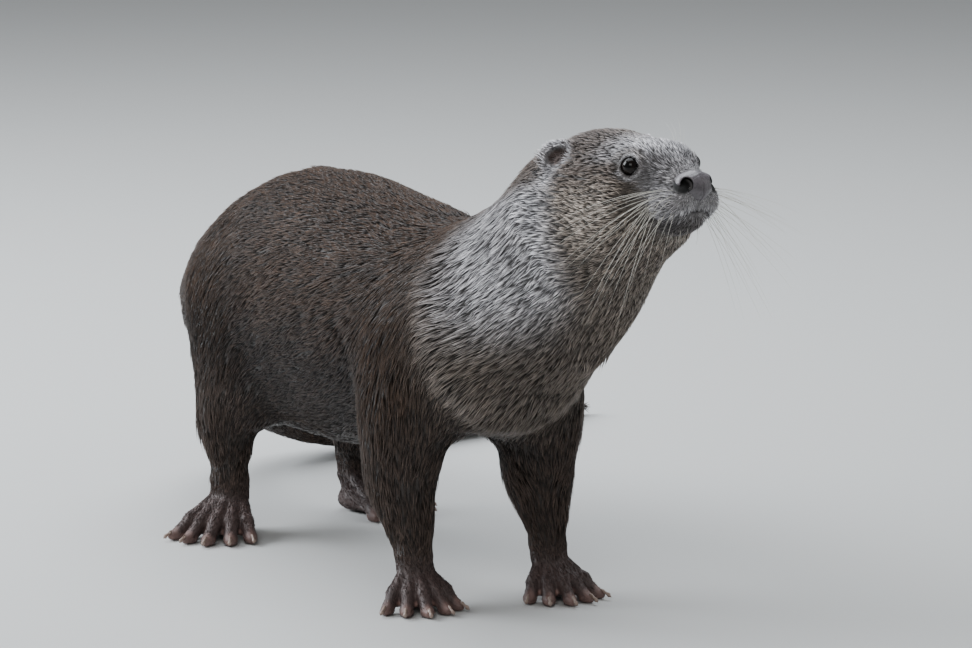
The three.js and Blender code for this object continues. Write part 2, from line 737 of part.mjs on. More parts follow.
// The eyes sit in open sockets.
const SIDES = { left: 1, right: -1 };
const EYE_SEGMENTS = [12, 9];
for (const [side, sign] of Object.entries(SIDES)) {
  const at = new THREE.Vector3(EYE_OFF[0], EYE_OFF[1] * sign, EYE_OFF[2]).applyMatrix4(headMatrix);
  const matrix = new THREE.Matrix4().makeTranslation(at);
  head = head.subtract(solidFrom(new THREE.SphereGeometry(SOCKET_RADIUS, ...EYE_SEGMENTS), matrix));
  pieces[`eye_${side}`] = solidFrom(new THREE.SphereGeometry(EYE_RADIUS, ...EYE_SEGMENTS), matrix);
}
head = mainPiece(head);
pieces.head = head;

// What stands on another part: its own solid less that part, and less that part moved outwards
// by the clearance.
function standingOn(solid, base, way) {
  const length = Math.hypot(...way);
  return mainPiece(solid.subtract(base.translate(way.map((v) => (v / length) * GAP))).subtract(base));
}

// A small field in the head's frame, as a solid.
function onHead(field, low, high, pitch, budget) {
  const mesh = thinned(surface(field, low, high, pitch), budget);
  const points = mesh.points.map((p) => new THREE.Vector3(...p).applyMatrix4(headMatrix).toArray());
  return solidOf({ points, triangles: mesh.triangles });
}

for (const [side, sign] of Object.entries(SIDES)) {
  const [x, y, z] = EAR;
  const low = [x - 19, sign > 0 ? y - 20 : -y - 20, z - 20];
  const high = [x + 19, low[1] + 40, z + 20];
  const way = new THREE.Vector3(-0.2, sign * 0.8, 0.5).transformDirection(headMatrix).toArray();
  pieces[`ear_${side}`] = standingOn(onHead(earField(sign), low, high, 1.3, 190), head, way);
}
pieces.nose = standingOn(onHead(noseField, [18, -17, -28], [42, 17, 0], 1.3, 220), head, headAxis);

// A claw, a hook that curves down, its root at the origin and its point along +X.
function clawGeometry() {
  const cone = new THREE.ConeGeometry(CLAW_RADIUS, CLAW_LENGTH, 5, 2).rotateZ(-Math.PI / 2);
  cone.translate(CLAW_LENGTH / 2, 0, 0);
  const position = cone.getAttribute("position");
  for (let i = 0; i < position.count; i++) {
    const along = position.getX(i) / CLAW_LENGTH;
    position.setZ(i, position.getZ(i) * 1.2 - CLAW_DROP * along * along);
  }
  return cone;
}

for (const [name, stance] of Object.entries(STANCES)) {
  const foot = FEET[stance.kind];
  const base = pieces[name.replace("leg", "foot")];
  for (const toe of TOES) {
    const { tip, angle } = toeLine(foot, toe);
    const turn = new THREE.Matrix4().makeRotationZ(angle);
    turn.setPosition(tip[0], tip[1], foot.toe + CLAW_LIFT);
    const claw = solidFrom(clawGeometry(), footMatrix(stance).multiply(turn));
    const heading = angle + radians(stance.turn);
    const way = [Math.cos(heading), stance.side * Math.sin(heading), 0.3];
    const number = toe + 3;
    pieces[`claw_${name.replace("leg", "")}_${number}`] = standingOn(
      stance.side > 0 ? claw : claw.mirror([0, 1, 0]),
      base,
      way,
    );
  }
}

// ---------------------------------------------------------------- colours and the finished group

const COAT = { color: 0x4a3a30, roughness: 0.62, metalness: 0 };
const PALE_COAT = { color: 0x6e6055, roughness: 0.66, metalness: 0 };
const SKIN = { color: 0x5b4848, roughness: 0.6, metalness: 0 };
const NOSE = { color: 0x2e2b30, roughness: 0.42, metalness: 0 };
const EYE = { color: 0x0c0a0a, roughness: 0.08, metalness: 0 };
const CLAW = { color: 0x8d7a6c, roughness: 0.4, metalness: 0 };
const LOOKS = [
  [/^eye/, EYE],
  [/^nose/, NOSE],
  [/^claw/, CLAW],
  [/foot/, SKIN],
  [/^(head|neck|ear)/, PALE_COAT],
  [/./, COAT],
];

function meshOf(name, solid) {
  const { vertProperties, triVerts } = solid.getMesh();
  const geometry = new THREE.BufferGeometry();
  geometry.setAttribute("position", new THREE.BufferAttribute(new Float32Array(vertProperties), 3));
  geometry.setIndex(new THREE.BufferAttribute(new Uint32Array(triVerts), 1));
  geometry.computeVertexNormals();
  const [, look] = LOOKS.find(([pattern]) => pattern.test(name));
  const mesh = new THREE.Mesh(geometry, new THREE.MeshStandardMaterial(look));
  mesh.name = name;
  return mesh;
}

const otter = new THREE.Group();
otter.name = "river_otter";
for (const [name, solid] of Object.entries(pieces)) otter.add(meshOf(name, solid));

const extent = new THREE.Box3().setFromObject(otter);
const centre = extent.getCenter(new THREE.Vector3());
for (const mesh of otter.children) mesh.geometry.translate(-centre.x, -centre.y, -extent.min.z);

export default otter;
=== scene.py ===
import math

import bmesh
import bpy
import numpy as np
import openvdb as vdb
from mathutils import Matrix, Vector
from mathutils.kdtree import KDTree


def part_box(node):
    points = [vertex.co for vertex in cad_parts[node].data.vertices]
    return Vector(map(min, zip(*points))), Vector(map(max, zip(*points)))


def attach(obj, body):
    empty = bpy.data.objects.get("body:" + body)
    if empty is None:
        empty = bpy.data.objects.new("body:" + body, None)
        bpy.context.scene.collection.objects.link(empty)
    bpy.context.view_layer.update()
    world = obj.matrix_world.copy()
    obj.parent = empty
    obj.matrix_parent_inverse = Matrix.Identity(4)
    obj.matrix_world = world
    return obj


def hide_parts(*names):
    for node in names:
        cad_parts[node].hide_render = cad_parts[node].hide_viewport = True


# A river otter, life size. The solids of flesh become one skin, with lids, nostrils and a mouth
# line, and the coat stands on it as tufts. Lengths here are millimetres in the build frame, whose
# origin lies on the floor between the front feet; "row" turns them into the frame's metres.
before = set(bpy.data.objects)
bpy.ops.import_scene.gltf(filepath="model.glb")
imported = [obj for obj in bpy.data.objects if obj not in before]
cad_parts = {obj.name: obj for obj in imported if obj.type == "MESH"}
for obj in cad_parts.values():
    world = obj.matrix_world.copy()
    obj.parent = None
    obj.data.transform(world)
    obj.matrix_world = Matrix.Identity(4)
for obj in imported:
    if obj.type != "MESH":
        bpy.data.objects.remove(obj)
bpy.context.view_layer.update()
rng = np.random.default_rng(11)

# ---------------------------------------------------------------- frames

EYE_PLACE = np.array([150.0, 45.0, 304.0])  # midway between the eyes, as the solids have it
HEAD_YAW, HEAD_PITCH, HEAD_ROLL = 12, 10, -3
EYE_RADIUS = 6.2

head_turn = (
    Matrix.Rotation(math.radians(HEAD_YAW), 3, "Z")
    @ Matrix.Rotation(math.radians(-HEAD_PITCH), 3, "Y")
    @ Matrix.Rotation(math.radians(HEAD_ROLL), 3, "X")
)
HEAD = np.array(head_turn)  # columns are the head's own axes: nose, left, crown


def box_middle(node):
    low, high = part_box(node)
    return (np.array(low) + np.array(high)) * 500


eyes_now = {side: box_middle(f"eye_{side}") for side in ("left", "right")}
SHIFT = (eyes_now["left"] + eyes_now["right"]) / 2 - (EYE_PLACE - HEAD[:, 0])
EYES = {side: at - SHIFT for side, at in eyes_now.items()}


def row(points):
    return (np.asarray(points, float) + SHIFT) / 1000


def in_head(points):
    return (np.asarray(points) - EYE_PLACE) @ HEAD


def from_head(points):
    return np.asarray(points, float) @ HEAD.T + EYE_PLACE


def unit(v):
    v = np.asarray(v, float)
    return v / np.maximum(np.linalg.norm(v, axis=-1, keepdims=True), 1e-9)


def ramp(x, low, high):
    t = np.clip((x - low) / (high - low), 0, 1)
    return t * t * (3 - 2 * t)


# ---------------------------------------------------------------- the outer shell of the flesh

FLESH = [n for n in sorted(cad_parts) if n.split("_")[0] not in ("eye", "nose", "claw")]


def node_triangles(name):
    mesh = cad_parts[name].data
    mesh.calc_loop_triangles()
    co = np.empty(len(mesh.vertices) * 3, np.float32)
    mesh.vertices.foreach_get("co", co)
    tri = np.empty(len(mesh.loop_triangles) * 3, np.int32)
    mesh.loop_triangles.foreach_get("vertices", tri)
    return co.reshape(-1, 3) * 1000 - SHIFT.astype(np.float32), tri.reshape(-1, 3)


def gathered(names):
    points, triangles, count = [], [], 0
    for name in names:
        co, tri = node_triangles(name)
        points.append(co)
        triangles.append(tri + count)
        count += len(co)
    return np.concatenate(points), np.concatenate(triangles)


def level_set(points, faces, pitch, band):
    kind = "quads" if faces.shape[1] == 4 else "triangles"
    return vdb.FloatGrid.createLevelSetFromPolygons(
        points.astype(np.float32),
        **{kind: faces.astype(np.uint32)},
        transform=vdb.createLinearTransform(voxelSize=pitch),
        halfWidth=band,
    )


CLOSING = 0.5  # closes the thin gaps between the solids


class Block:
    """A box of space with the distance outside some of the flesh at each point of a grid."""

    def __init__(self, nodes, low, high, pitch, band):
        shell = level_set(*gathered(nodes), min(pitch, 1.2), 3)
        points, quads = shell.convertToQuads(isovalue=CLOSING)
        grid = level_set(points, quads, pitch, band)
        self.first = np.floor(np.array(low) / pitch).astype(int)
        self.size = np.ceil(np.array(high) / pitch).astype(int) - self.first
        self.pitch = pitch
        self.value = np.empty(tuple(self.size), np.float32)
        grid.copyToArray(self.value, ijk=tuple(int(i) for i in self.first))
        self.value += CLOSING
        axes = [(self.first[i] + np.arange(self.size[i])) * pitch for i in range(3)]
        self.x = axes[0].astype(np.float32)[:, None, None]
        self.y = axes[1].astype(np.float32)[None, :, None]
        self.z = axes[2].astype(np.float32)[None, None, :]

    def blurred(self, size):
        """The distances, smoothed over about that many millimetres."""
        sigma = size / self.pitch
        reach = max(1, math.ceil(2.5 * sigma))
        weights = np.exp(-0.5 * (np.arange(-reach, reach + 1) / sigma) ** 2)
        weights = (weights / weights.sum()).astype(np.float32)
        out = self.value
        for axis in range(3):
            pad = [(reach, reach) if a == axis else (0, 0) for a in range(3)]
            wide = np.pad(out, pad, mode="edge")
            out = np.zeros_like(self.value)
            for i, weight in enumerate(weights):
                cut = [slice(i, i + self.size[a]) if a == axis else slice(None) for a in range(3)]
                out += weight * wide[tuple(cut)]
        return out

    def head_axes(self):
        rel = [self.x - EYE_PLACE[0], self.y - EYE_PLACE[1], self.z - EYE_PLACE[2]]
        return [sum(rel[i] * np.float32(HEAD[i, a]) for i in range(3)) for a in range(3)]

    def meshed(self):
        limit = 3 * self.pitch
        grid = vdb.FloatGrid(limit)
        grid.copyFromArray(np.clip(self.value, -limit, limit), tolerance=1e-5)
        points, quads = grid.convertToQuads(isovalue=0)
        return (points + self.first) * self.pitch, quads


def mix(a, b, share):
    return a + (b - a) * share


def blend(a, b, size):
    near = np.maximum(size - np.abs(a - b), 0) / size
    return np.minimum(a, b) - near * near * size / 4


# ---------------------------------------------------------------- the skin

SEAM = -84  # the head block ends here, along the head's own axis from the eyes
CUFF = {"fore": 36, "hind": 42}  # the height at which a foot's block ends
ANKLES = {
    "foreleg_left": (2, 46),
    "foreleg_right": (-10, -47),
    "hindleg_left": (-298, 55),
    "hindleg_right": (-274, -54),
}


def body_block():
    block = Block(FLESH, [-548, -92, -6], [120, 386, 345], 2.5, 6)
    low = ramp(-block.z, -75, -35)
    block.value = mix(block.blurred(4.4), block.blurred(2.4), low)
    tail = ramp(-block.x, 360, 420)
    depth = mix(mix(np.float32(3.6), np.float32(2.0), tail), np.float32(1.2), ramp(-block.z, -110, -40) * (1 - tail))
    block.value += depth
    return block


def gaze_axes(side):
    """An eye's own axes: sideways towards the nose, up, and out along its gaze."""
    sign = 1 if side == "left" else -1
    out = unit(np.array([0.42, sign * 0.88, 0.10]))
    ahead = unit(np.array([1, 0, 0]) - out * out[0])
    up = np.cross(out, ahead) * sign
    return unit(ahead), unit(up * np.sign(up[2])), out


LID_WIDE, LID_TALL = 5.75, 5.6
EAR = (-54, 38, 10)  # the middle of an ear's cup, on the left


def ear_axes(side):
    """An ear's own axes: along its width, up its height, and out of its cup."""
    out = unit(np.array([0.55, side * 0.80, 0.24]))
    up = np.array([-0.22, 0, 0.97])
    up = unit(up - out * (out @ up))
    return np.cross(up, out), up, out


def ear_field(hx, hy, hz, side):
    """A small round ear: a thin cup with a thick rolled rim over its top and back."""
    rel = [hx - EAR[0], hy - side * EAR[1], hz - EAR[2]]
    wide, tall, out = (sum(rel[i] * np.float32(axis[i]) for i in range(3)) for axis in ear_axes(side))
    ring = np.sqrt((wide / 12.5) ** 2 + (tall / 9.5) ** 2)
    rim = np.sqrt(((ring - 0.86) * 10) ** 2 + (out - 0.6) ** 2) - mix(1.2, 2.3, ramp(tall, -7, 1))
    cup = np.maximum(np.abs(out + 1.8 - 1.6 * ring**2) - 1.1, (ring - 0.9) * 10)
    root = np.sqrt((wide / 12) ** 2 + ((tall + 3) / 9) ** 2 + ((out + 6) / 7) ** 2) * 7 - 7
    return blend(blend(rim, cup, 1.6), root, 2.5)


def head_block():
    nodes = ["head", "neck", "eye_left", "eye_right"]
    block = Block(nodes, [56, -50, 174], [204, 120, 346], 0.85, 12)
    hx, hy, hz = block.head_axes()
    back = ramp(-hx, 50, 78)
    face = block.blurred(1.5)
    out = mix(face, block.blurred(4.4), back)
    out += mix(np.float32(0.9), np.float32(3.6), ramp(-hx, 15, 80))
    for sign in (1, -1):
        out = blend(out, ear_field(hx, hy, hz, sign), 3.5)
    side = np.abs(hy)

    # The eye sockets: lids that hug each eyeball, open in front of it.
    for name, centre in EYES.items():
        ahead, up, gaze = (HEAD @ axis for axis in gaze_axes(name))
        rel = [block.x - centre[0], block.y - centre[1], block.z - centre[2]]
        dot = lambda axis: sum(rel[i] * np.float32(axis[i]) for i in range(3))
        u, v, w = dot(ahead), dot(up), dot(gaze)
        r = np.sqrt(u * u + v * v + w * w)
        open_ = (np.sqrt((u / LID_WIDE) ** 2 + (v / LID_TALL) ** 2) - 1) * 5
        brow = np.sqrt((u / 10) ** 2 + (v / 8.8) ** 2) * 8.8
        lid = np.maximum(np.abs(r - EYE_RADIUS + 0.2) - 1.15, -open_)
        lid = np.maximum(lid, 1.5 - w)
        out = blend(out, lid, 1.6)
        out += 0.55 * np.exp(-(((brow - 8.4) / 1.6) ** 2)) * (w > 0) * (r < 14)
        hole = np.maximum(open_, 1.0 - w)
        hole = np.maximum(hole, r - EYE_RADIUS - 6)
        out = np.maximum(out, -hole)

    # The mouth: a thin line under the whisker pads, back to below the eyes.
    lip = -30.5 - 0.0125 * side**2 - 0.05 * (30 - hx)
    slot = np.abs(hz - lip) - 0.4
    slot = np.maximum(slot, -(out + 1.5))
    slot = np.maximum(slot, -2 - hx)
    out = -blend(-out, slot, 0.7)
    # The groove down from the nose to the lip.
    groove = np.sqrt(hy**2 + (np.maximum(np.abs(hz + 26) - 4.5, 0)) ** 2) - 0.6
    groove = np.maximum(groove, -(out + 1.0))
    groove = np.maximum(groove, 20 - hx)
    out = -blend(-out, groove, 0.8)
    block.value = out
    return block


SOLE_SINK = 1.6  # how much of each sole the floor cuts off flat
FEET = {
    "fore": {"root": 10, "spread": 5.2, "length": 30, "toe": 4.3, "knuckle": 12.5, "instep": 24, "fan": 18},
    "hind": {"root": 17, "spread": 6.2, "length": 37, "toe": 4.7, "knuckle": 13, "instep": 25, "fan": 15.5},
}
TOE_LENGTHS = (0.8, 0.95, 1, 0.98, 0.88)  # from the inner toe to the outer one
TOES = {"foreleg_left": -6, "foreleg_right": -14, "hindleg_left": 28, "hindleg_right": -44}  # headings, degrees


def toe_line(kind, toe):
    """Where a toe's ray leaves the ankle, then its root, knuckle, pad and tip, in its foot's own frame."""
    foot = FEET[kind]
    length = foot["length"] * TOE_LENGTHS[toe + 2]
    angle = math.radians(foot["fan"] * toe)
    root = (foot["root"] - abs(toe) * 2.6, foot["spread"] * toe)
    low = foot["toe"] - SOLE_SINK

    def at(share, height):
        return np.array([root[0] + math.cos(angle) * length * share, root[1] + math.sin(angle) * length * share, height])

    ankle = np.array([1, foot["spread"] * 0.5 * toe, foot["instep"]])
    return ankle, at(0, 11), at(0.45, foot["knuckle"]), at(0.86, low), at(1, low)


def rod(x, y, z, a, b, ra, rb):
    step = b - a
    share = ((x - a[0]) * step[0] + (y - a[1]) * step[1] + (z - a[2]) * step[2]) / (step @ step)
    share = np.clip(share, 0, 1)
    away = np.sqrt((x - a[0] - share * step[0]) ** 2 + (y - a[1] - share * step[1]) ** 2 + (z - a[2] - share * step[2]) ** 2)
    return away - (ra + (rb - ra) * share)


def in_foot(name, x, y):
    """Plan coordinates in a foot's own frame: ahead of its ankle, and towards its outer side."""
    ankle_x, ankle_y = ANKLES[name]
    side = math.copysign(1, ankle_y)
    turn = math.radians(TOES[name] * side)
    dx, dy = x - ankle_x, side * y - abs(ankle_y)
    return dx * math.cos(turn) + dy * math.sin(turn), -dx * math.sin(turn) + dy * math.cos(turn)


def foot_block(name):
    x, y = ANKLES[name]
    kind = name[:4]
    top = CUFF[kind]
    nodes = [name, name.replace("leg", "foot")]
    block = Block(nodes, [x - 46, y - 72, -5], [x + 74, y + 72, top + 8], 0.9, 8)
    up = ramp(block.z, 14, top - 4)
    out = mix(block.blurred(1.1), block.blurred(2.4), up) + mix(np.float32(0.7), np.float32(1.2), up)
    u, v = in_foot(name, block.x, block.y)
    size = FEET[kind]["toe"]
    toes = None
    for toe in range(-2, 3):
        ankle, _, knuckle, pad, tip = toe_line(kind, toe)
        line = blend(
            rod(u, v, block.z, ankle, knuckle, size * 1.1, size * 0.84),
            rod(u, v, block.z, knuckle, pad, size * 0.88, size * 0.92),
            2.5,
        )
        joint = mix(knuckle, pad, 0.12)
        line = blend(line, rod(u, v, block.z, joint, joint + 0.01, size * 1.0, size * 1.0), 1.5)
        line = blend(line, rod(u, v, block.z, pad, tip, size * 0.98, size * 0.66), 1.5)
        toes = line if toes is None else np.minimum(toes, line)
    out = blend(out, np.maximum(toes, 0.15 - block.z), 1.6)
    block.value = np.maximum(out, 0.15 - block.z)
    return block


def as_bmesh(points, quads):
    mesh = bpy.data.meshes.new("part")
    mesh.vertices.add(len(points))
    mesh.vertices.foreach_set("co", np.asarray(points, np.float32).ravel())
    mesh.loops.add(quads.size)
    mesh.loops.foreach_set("vertex_index", quads.astype(np.int32).ravel())
    mesh.polygons.add(len(quads))
    mesh.polygons.foreach_set("loop_start", np.arange(0, quads.size, 4, dtype=np.int32))
    mesh.update(calc_edges=True)
    return mesh


def trimmed(bm, centre_test, point, normal):
    """Cuts away what lies beyond a plane, among the faces that the test names."""
    faces = [f for f in bm.faces if centre_test(f.calc_center_median())]
    geom = set(faces)
    for f in faces:
        geom.update(f.edges)
        geom.update(f.verts)
    cut = bmesh.ops.bisect_plane(
        bm, geom=list(geom), plane_co=point, plane_no=normal, dist=1e-4, clear_outer=True
    )
    return cut


def bridged(bm, point, normal, reach, test):
    point, normal = Vector(point), Vector(normal)
    rim = [
        e
        for e in bm.edges
        if e.is_boundary
        and all(abs((v.co - point).dot(normal)) < reach for v in e.verts)
        and test(e.verts[0].co)
    ]
    bmesh.ops.bridge_loops(bm, edges=rim)


def skin_mesh():
    """The whole skin: a coarse body, a fine head and four fine feet, joined edge to edge."""
    body = body_block()
    bm = bmesh.new()
    bm.from_mesh(as_bmesh(*body.meshed()))
    neck_point = EYE_PLACE + HEAD[:, 0] * SEAM
    neck_way = HEAD[:, 0]
    half = 0.7
    trimmed(bm, lambda c: c.x > 30 and c.z > 130, neck_point - neck_way * half, neck_way)
    for name, (x, y) in ANKLES.items():
        top = CUFF[name[:4]]
        near = lambda c: abs(c.x - x) < 80 and abs(c.y - y) < 52 and c.z < top + 12 and c.x > -360
        trimmed(bm, near, (x, y, top + half), (0, 0, -1))
    head = bmesh.new()
    head.from_mesh(as_bmesh(*head_block().meshed()))
    trimmed(head, lambda c: True, neck_point + neck_way * half, -neck_way)
    parts = [head]
    for name, (x, y) in ANKLES.items():
        foot = bmesh.new()
        foot.from_mesh(as_bmesh(*foot_block(name).meshed()))
        trimmed(foot, lambda c: True, (x, y, CUFF[name[:4]] - half), (0, 0, 1))
        parts.append(foot)
    for part in parts:
        spare = bpy.data.meshes.new("spare")
        part.to_mesh(spare)
        part.free()
        bm.from_mesh(spare)
        bpy.data.meshes.remove(spare)
    bridged(bm, neck_point, neck_way, 1.2, lambda c: c.z > 120 and c.x > 30)
    for name, (x, y) in ANKLES.items():
        near = lambda c: abs(c.x - x) < 60 and abs(c.y - y) < 50
        bridged(bm, (x, y, CUFF[name[:4]]), (0, 0, 1), 1.2, near)
    bmesh.ops.recalc_face_normals(bm, faces=bm.faces)
    mesh = bpy.data.meshes.new("skin")
    bm.to_mesh(mesh)
    bm.free()
    return mesh


# ---------------------------------------------------------------- the lie of the coat

# Lines down the middle of the body, each station [x, y, z, radius], in the order the coat lies.
spine_head = [from_head([x, 0, z]).tolist() + [r] for x, z, r in [(34, -14, 18), (0, -8, 30), (-44, -10, 42), (-88, -14, 50)]]
SPINE = spine_head + [
    [38, 10, 222, 62],
    [-12, 0, 186, 66],
    [-70, 0, 176, 74],
    [-125, 0, 171, 80],
    [-190, 0, 168, 84],
    [-250, 0, 167, 84],
    [-304, 0, 164, 75],
    [-347, 0, 156, 60],
    [-378, 2, 136, 46],
    [-400, 12, 116, 34],
    [-444, 42, 74, 28],
    [-474, 92, 38, 23],
    [-490, 155, 20, 20],
    [-498, 225, 16, 17],
    [-508, 295, 12, 13],
    [-530, 362, 7, 8],
]


def leg_line(name):
    x, y = ANKLES[name]
    s = math.copysign(1, y)
    turn = math.radians(TOES[name])
    ahead = np.array([math.cos(turn), math.sin(turn), 0])
    if name.startswith("fore"):
        upper = [[-18, 38 * s, 170, 44], [-20, 45 * s, 120, 38], [-22, 47 * s, 84, 30]]
    else:
        upper = [[-286, 32 * s, 165, 58], [-276, 46 * s, 112, 46], [-284, 52 * s, 74, 27]]
    foot = [(np.array([x, y, z]) + ahead * reach).tolist() + [r] for reach, z, r in [(2, 24, 13), (16, 12, 12), (50, 6, 12)]]
    return upper + [[x - 5, y, 50, 17]] + foot


LINES = {"spine": SPINE, **{name: leg_line(name) for name in ANKLES}}


def along_line(points, line):
    """For each point: distance along the line, its offset from it, the radius and the tangent there."""
    line = np.array(line, float)
    starts, steps = line[:-1], np.diff(line, axis=0)
    lengths = np.linalg.norm(steps[:, :3], axis=1)
    sums = np.concatenate([[0], np.cumsum(lengths)])
    best = np.full(len(points), np.inf)
    out = np.zeros((len(points), 8))
    for i, (start, step) in enumerate(zip(starts, steps)):
        share = np.clip((points - start[:3]) @ step[:3] / lengths[i] ** 2, 0, 1)
        middle = start[:3] + share[:, None] * step[:3]
        off = points - middle
        distance = np.linalg.norm(off, axis=1)
        nearer = distance < best
        best = np.where(nearer, distance, best)
        tangent = steps[i, :3] / lengths[i]
        if i + 1 < len(steps):
            tangent = mix(tangent, steps[i + 1, :3] / lengths[i + 1], 0.5 * ramp(share, 0.3, 1)[:, None])
        record = np.column_stack([sums[i] + share * lengths[i], off, start[3] + share * step[3], tangent * np.ones((len(points), 1))])
        out[nearer] = record[nearer]
    return out[:, 0], out[:, 1:4], out[:, 4], unit(out[:, 5:8])


def noise(points, scale, seed):
    """Smooth noise in -1..1, as a sum of a few waves with fixed random directions."""
    source = np.random.default_rng(seed)
    total = np.zeros(len(points))
    for _ in range(9):
        way = unit(source.normal(size=3))
        total += np.sin(points @ way * (6.283 / scale) * source.uniform(0.6, 1.5) + source.uniform(0, 6.28))
    return np.clip(total / 4.2, -1, 1)


EAR_PLACES = [from_head([EAR[0], side * EAR[1], EAR[2]]) for side in (1, -1)]
EAR_LOBE = np.array([-56, 44, -3])
BEHIND_EAR = np.array([-72, 40, 2])
NOSE_PLACE = from_head([29, 0, -14])
NOSTRIL = np.array([30.5, 11.8, -14.6])


def ear_inside(h, side):
    """How far, 0 to 1, points in the head's frame lie in the hollow of an ear."""
    rel = h - np.array([EAR[0], side * EAR[1], EAR[2]])
    wide, tall, out = (rel @ axis for axis in ear_axes(side))
    ring = np.sqrt((wide / 12.5) ** 2 + (tall / 9.5) ** 2)
    return (1 - ramp(ring, 0.42, 0.68)) * ramp(out, -4, -2) * (1 - ramp(out, 4, 6))


def eye_distances(points):
    """Distance from the nearer eye's gaze axis, the depth below that axis, and the distance from the eye."""
    ring, below, away = (np.full(len(points), 99.0) for _ in range(3))
    for name, centre in EYES.items():
        _, up, gaze = (HEAD @ axis for axis in gaze_axes(name))
        rel = points - centre
        distance = np.linalg.norm(rel, axis=1)
        near = distance < away
        out = rel @ gaze
        ring = np.where(near, np.where(out > 0, np.sqrt(np.maximum(distance**2 - out**2, 0)), distance), ring)
        below = np.where(near, -(rel @ up), below)
        away = np.where(near, distance, away)
    return ring, below, away


def toe_parts(points):
    """How far, 0 to 1, points lie on the webs between the toes, and at the tips of the toes."""
    web, tip = np.zeros(len(points)), np.zeros(len(points))
    for name, (x, y) in ANKLES.items():
        near = (np.abs(points[:, 0] - x) < 74) & (np.abs(points[:, 1] - y) < 60) & (points[:, 2] < 24)
        u, v = in_foot(name, points[near, 0], points[near, 1])
        size = FEET[name[:4]]["toe"]
        off = np.full(near.sum(), 99.0)
        end = np.full(near.sum(), 99.0)
        for toe in range(-2, 3):
            _, root, _, _, last = toe_line(name[:4], toe)
            flat = lambda p: np.array([p[0], p[1], 0.0])
            off = np.minimum(off, rod(u, v, 0.0, flat(root), flat(last), 0, 0))
            end = np.minimum(end, np.hypot(u - last[0], v - last[1]))
        reach = FEET[name[:4]]["root"]
        web[near] = ramp(off, size * 0.9, size * 1.2) * ramp(u, reach + 2, reach + 8) * (1 - ramp(points[near, 2], 6.5, 9.5))
        tip[near] = 1 - ramp(end, size * 0.5, size * 1.5)
    return web, tip


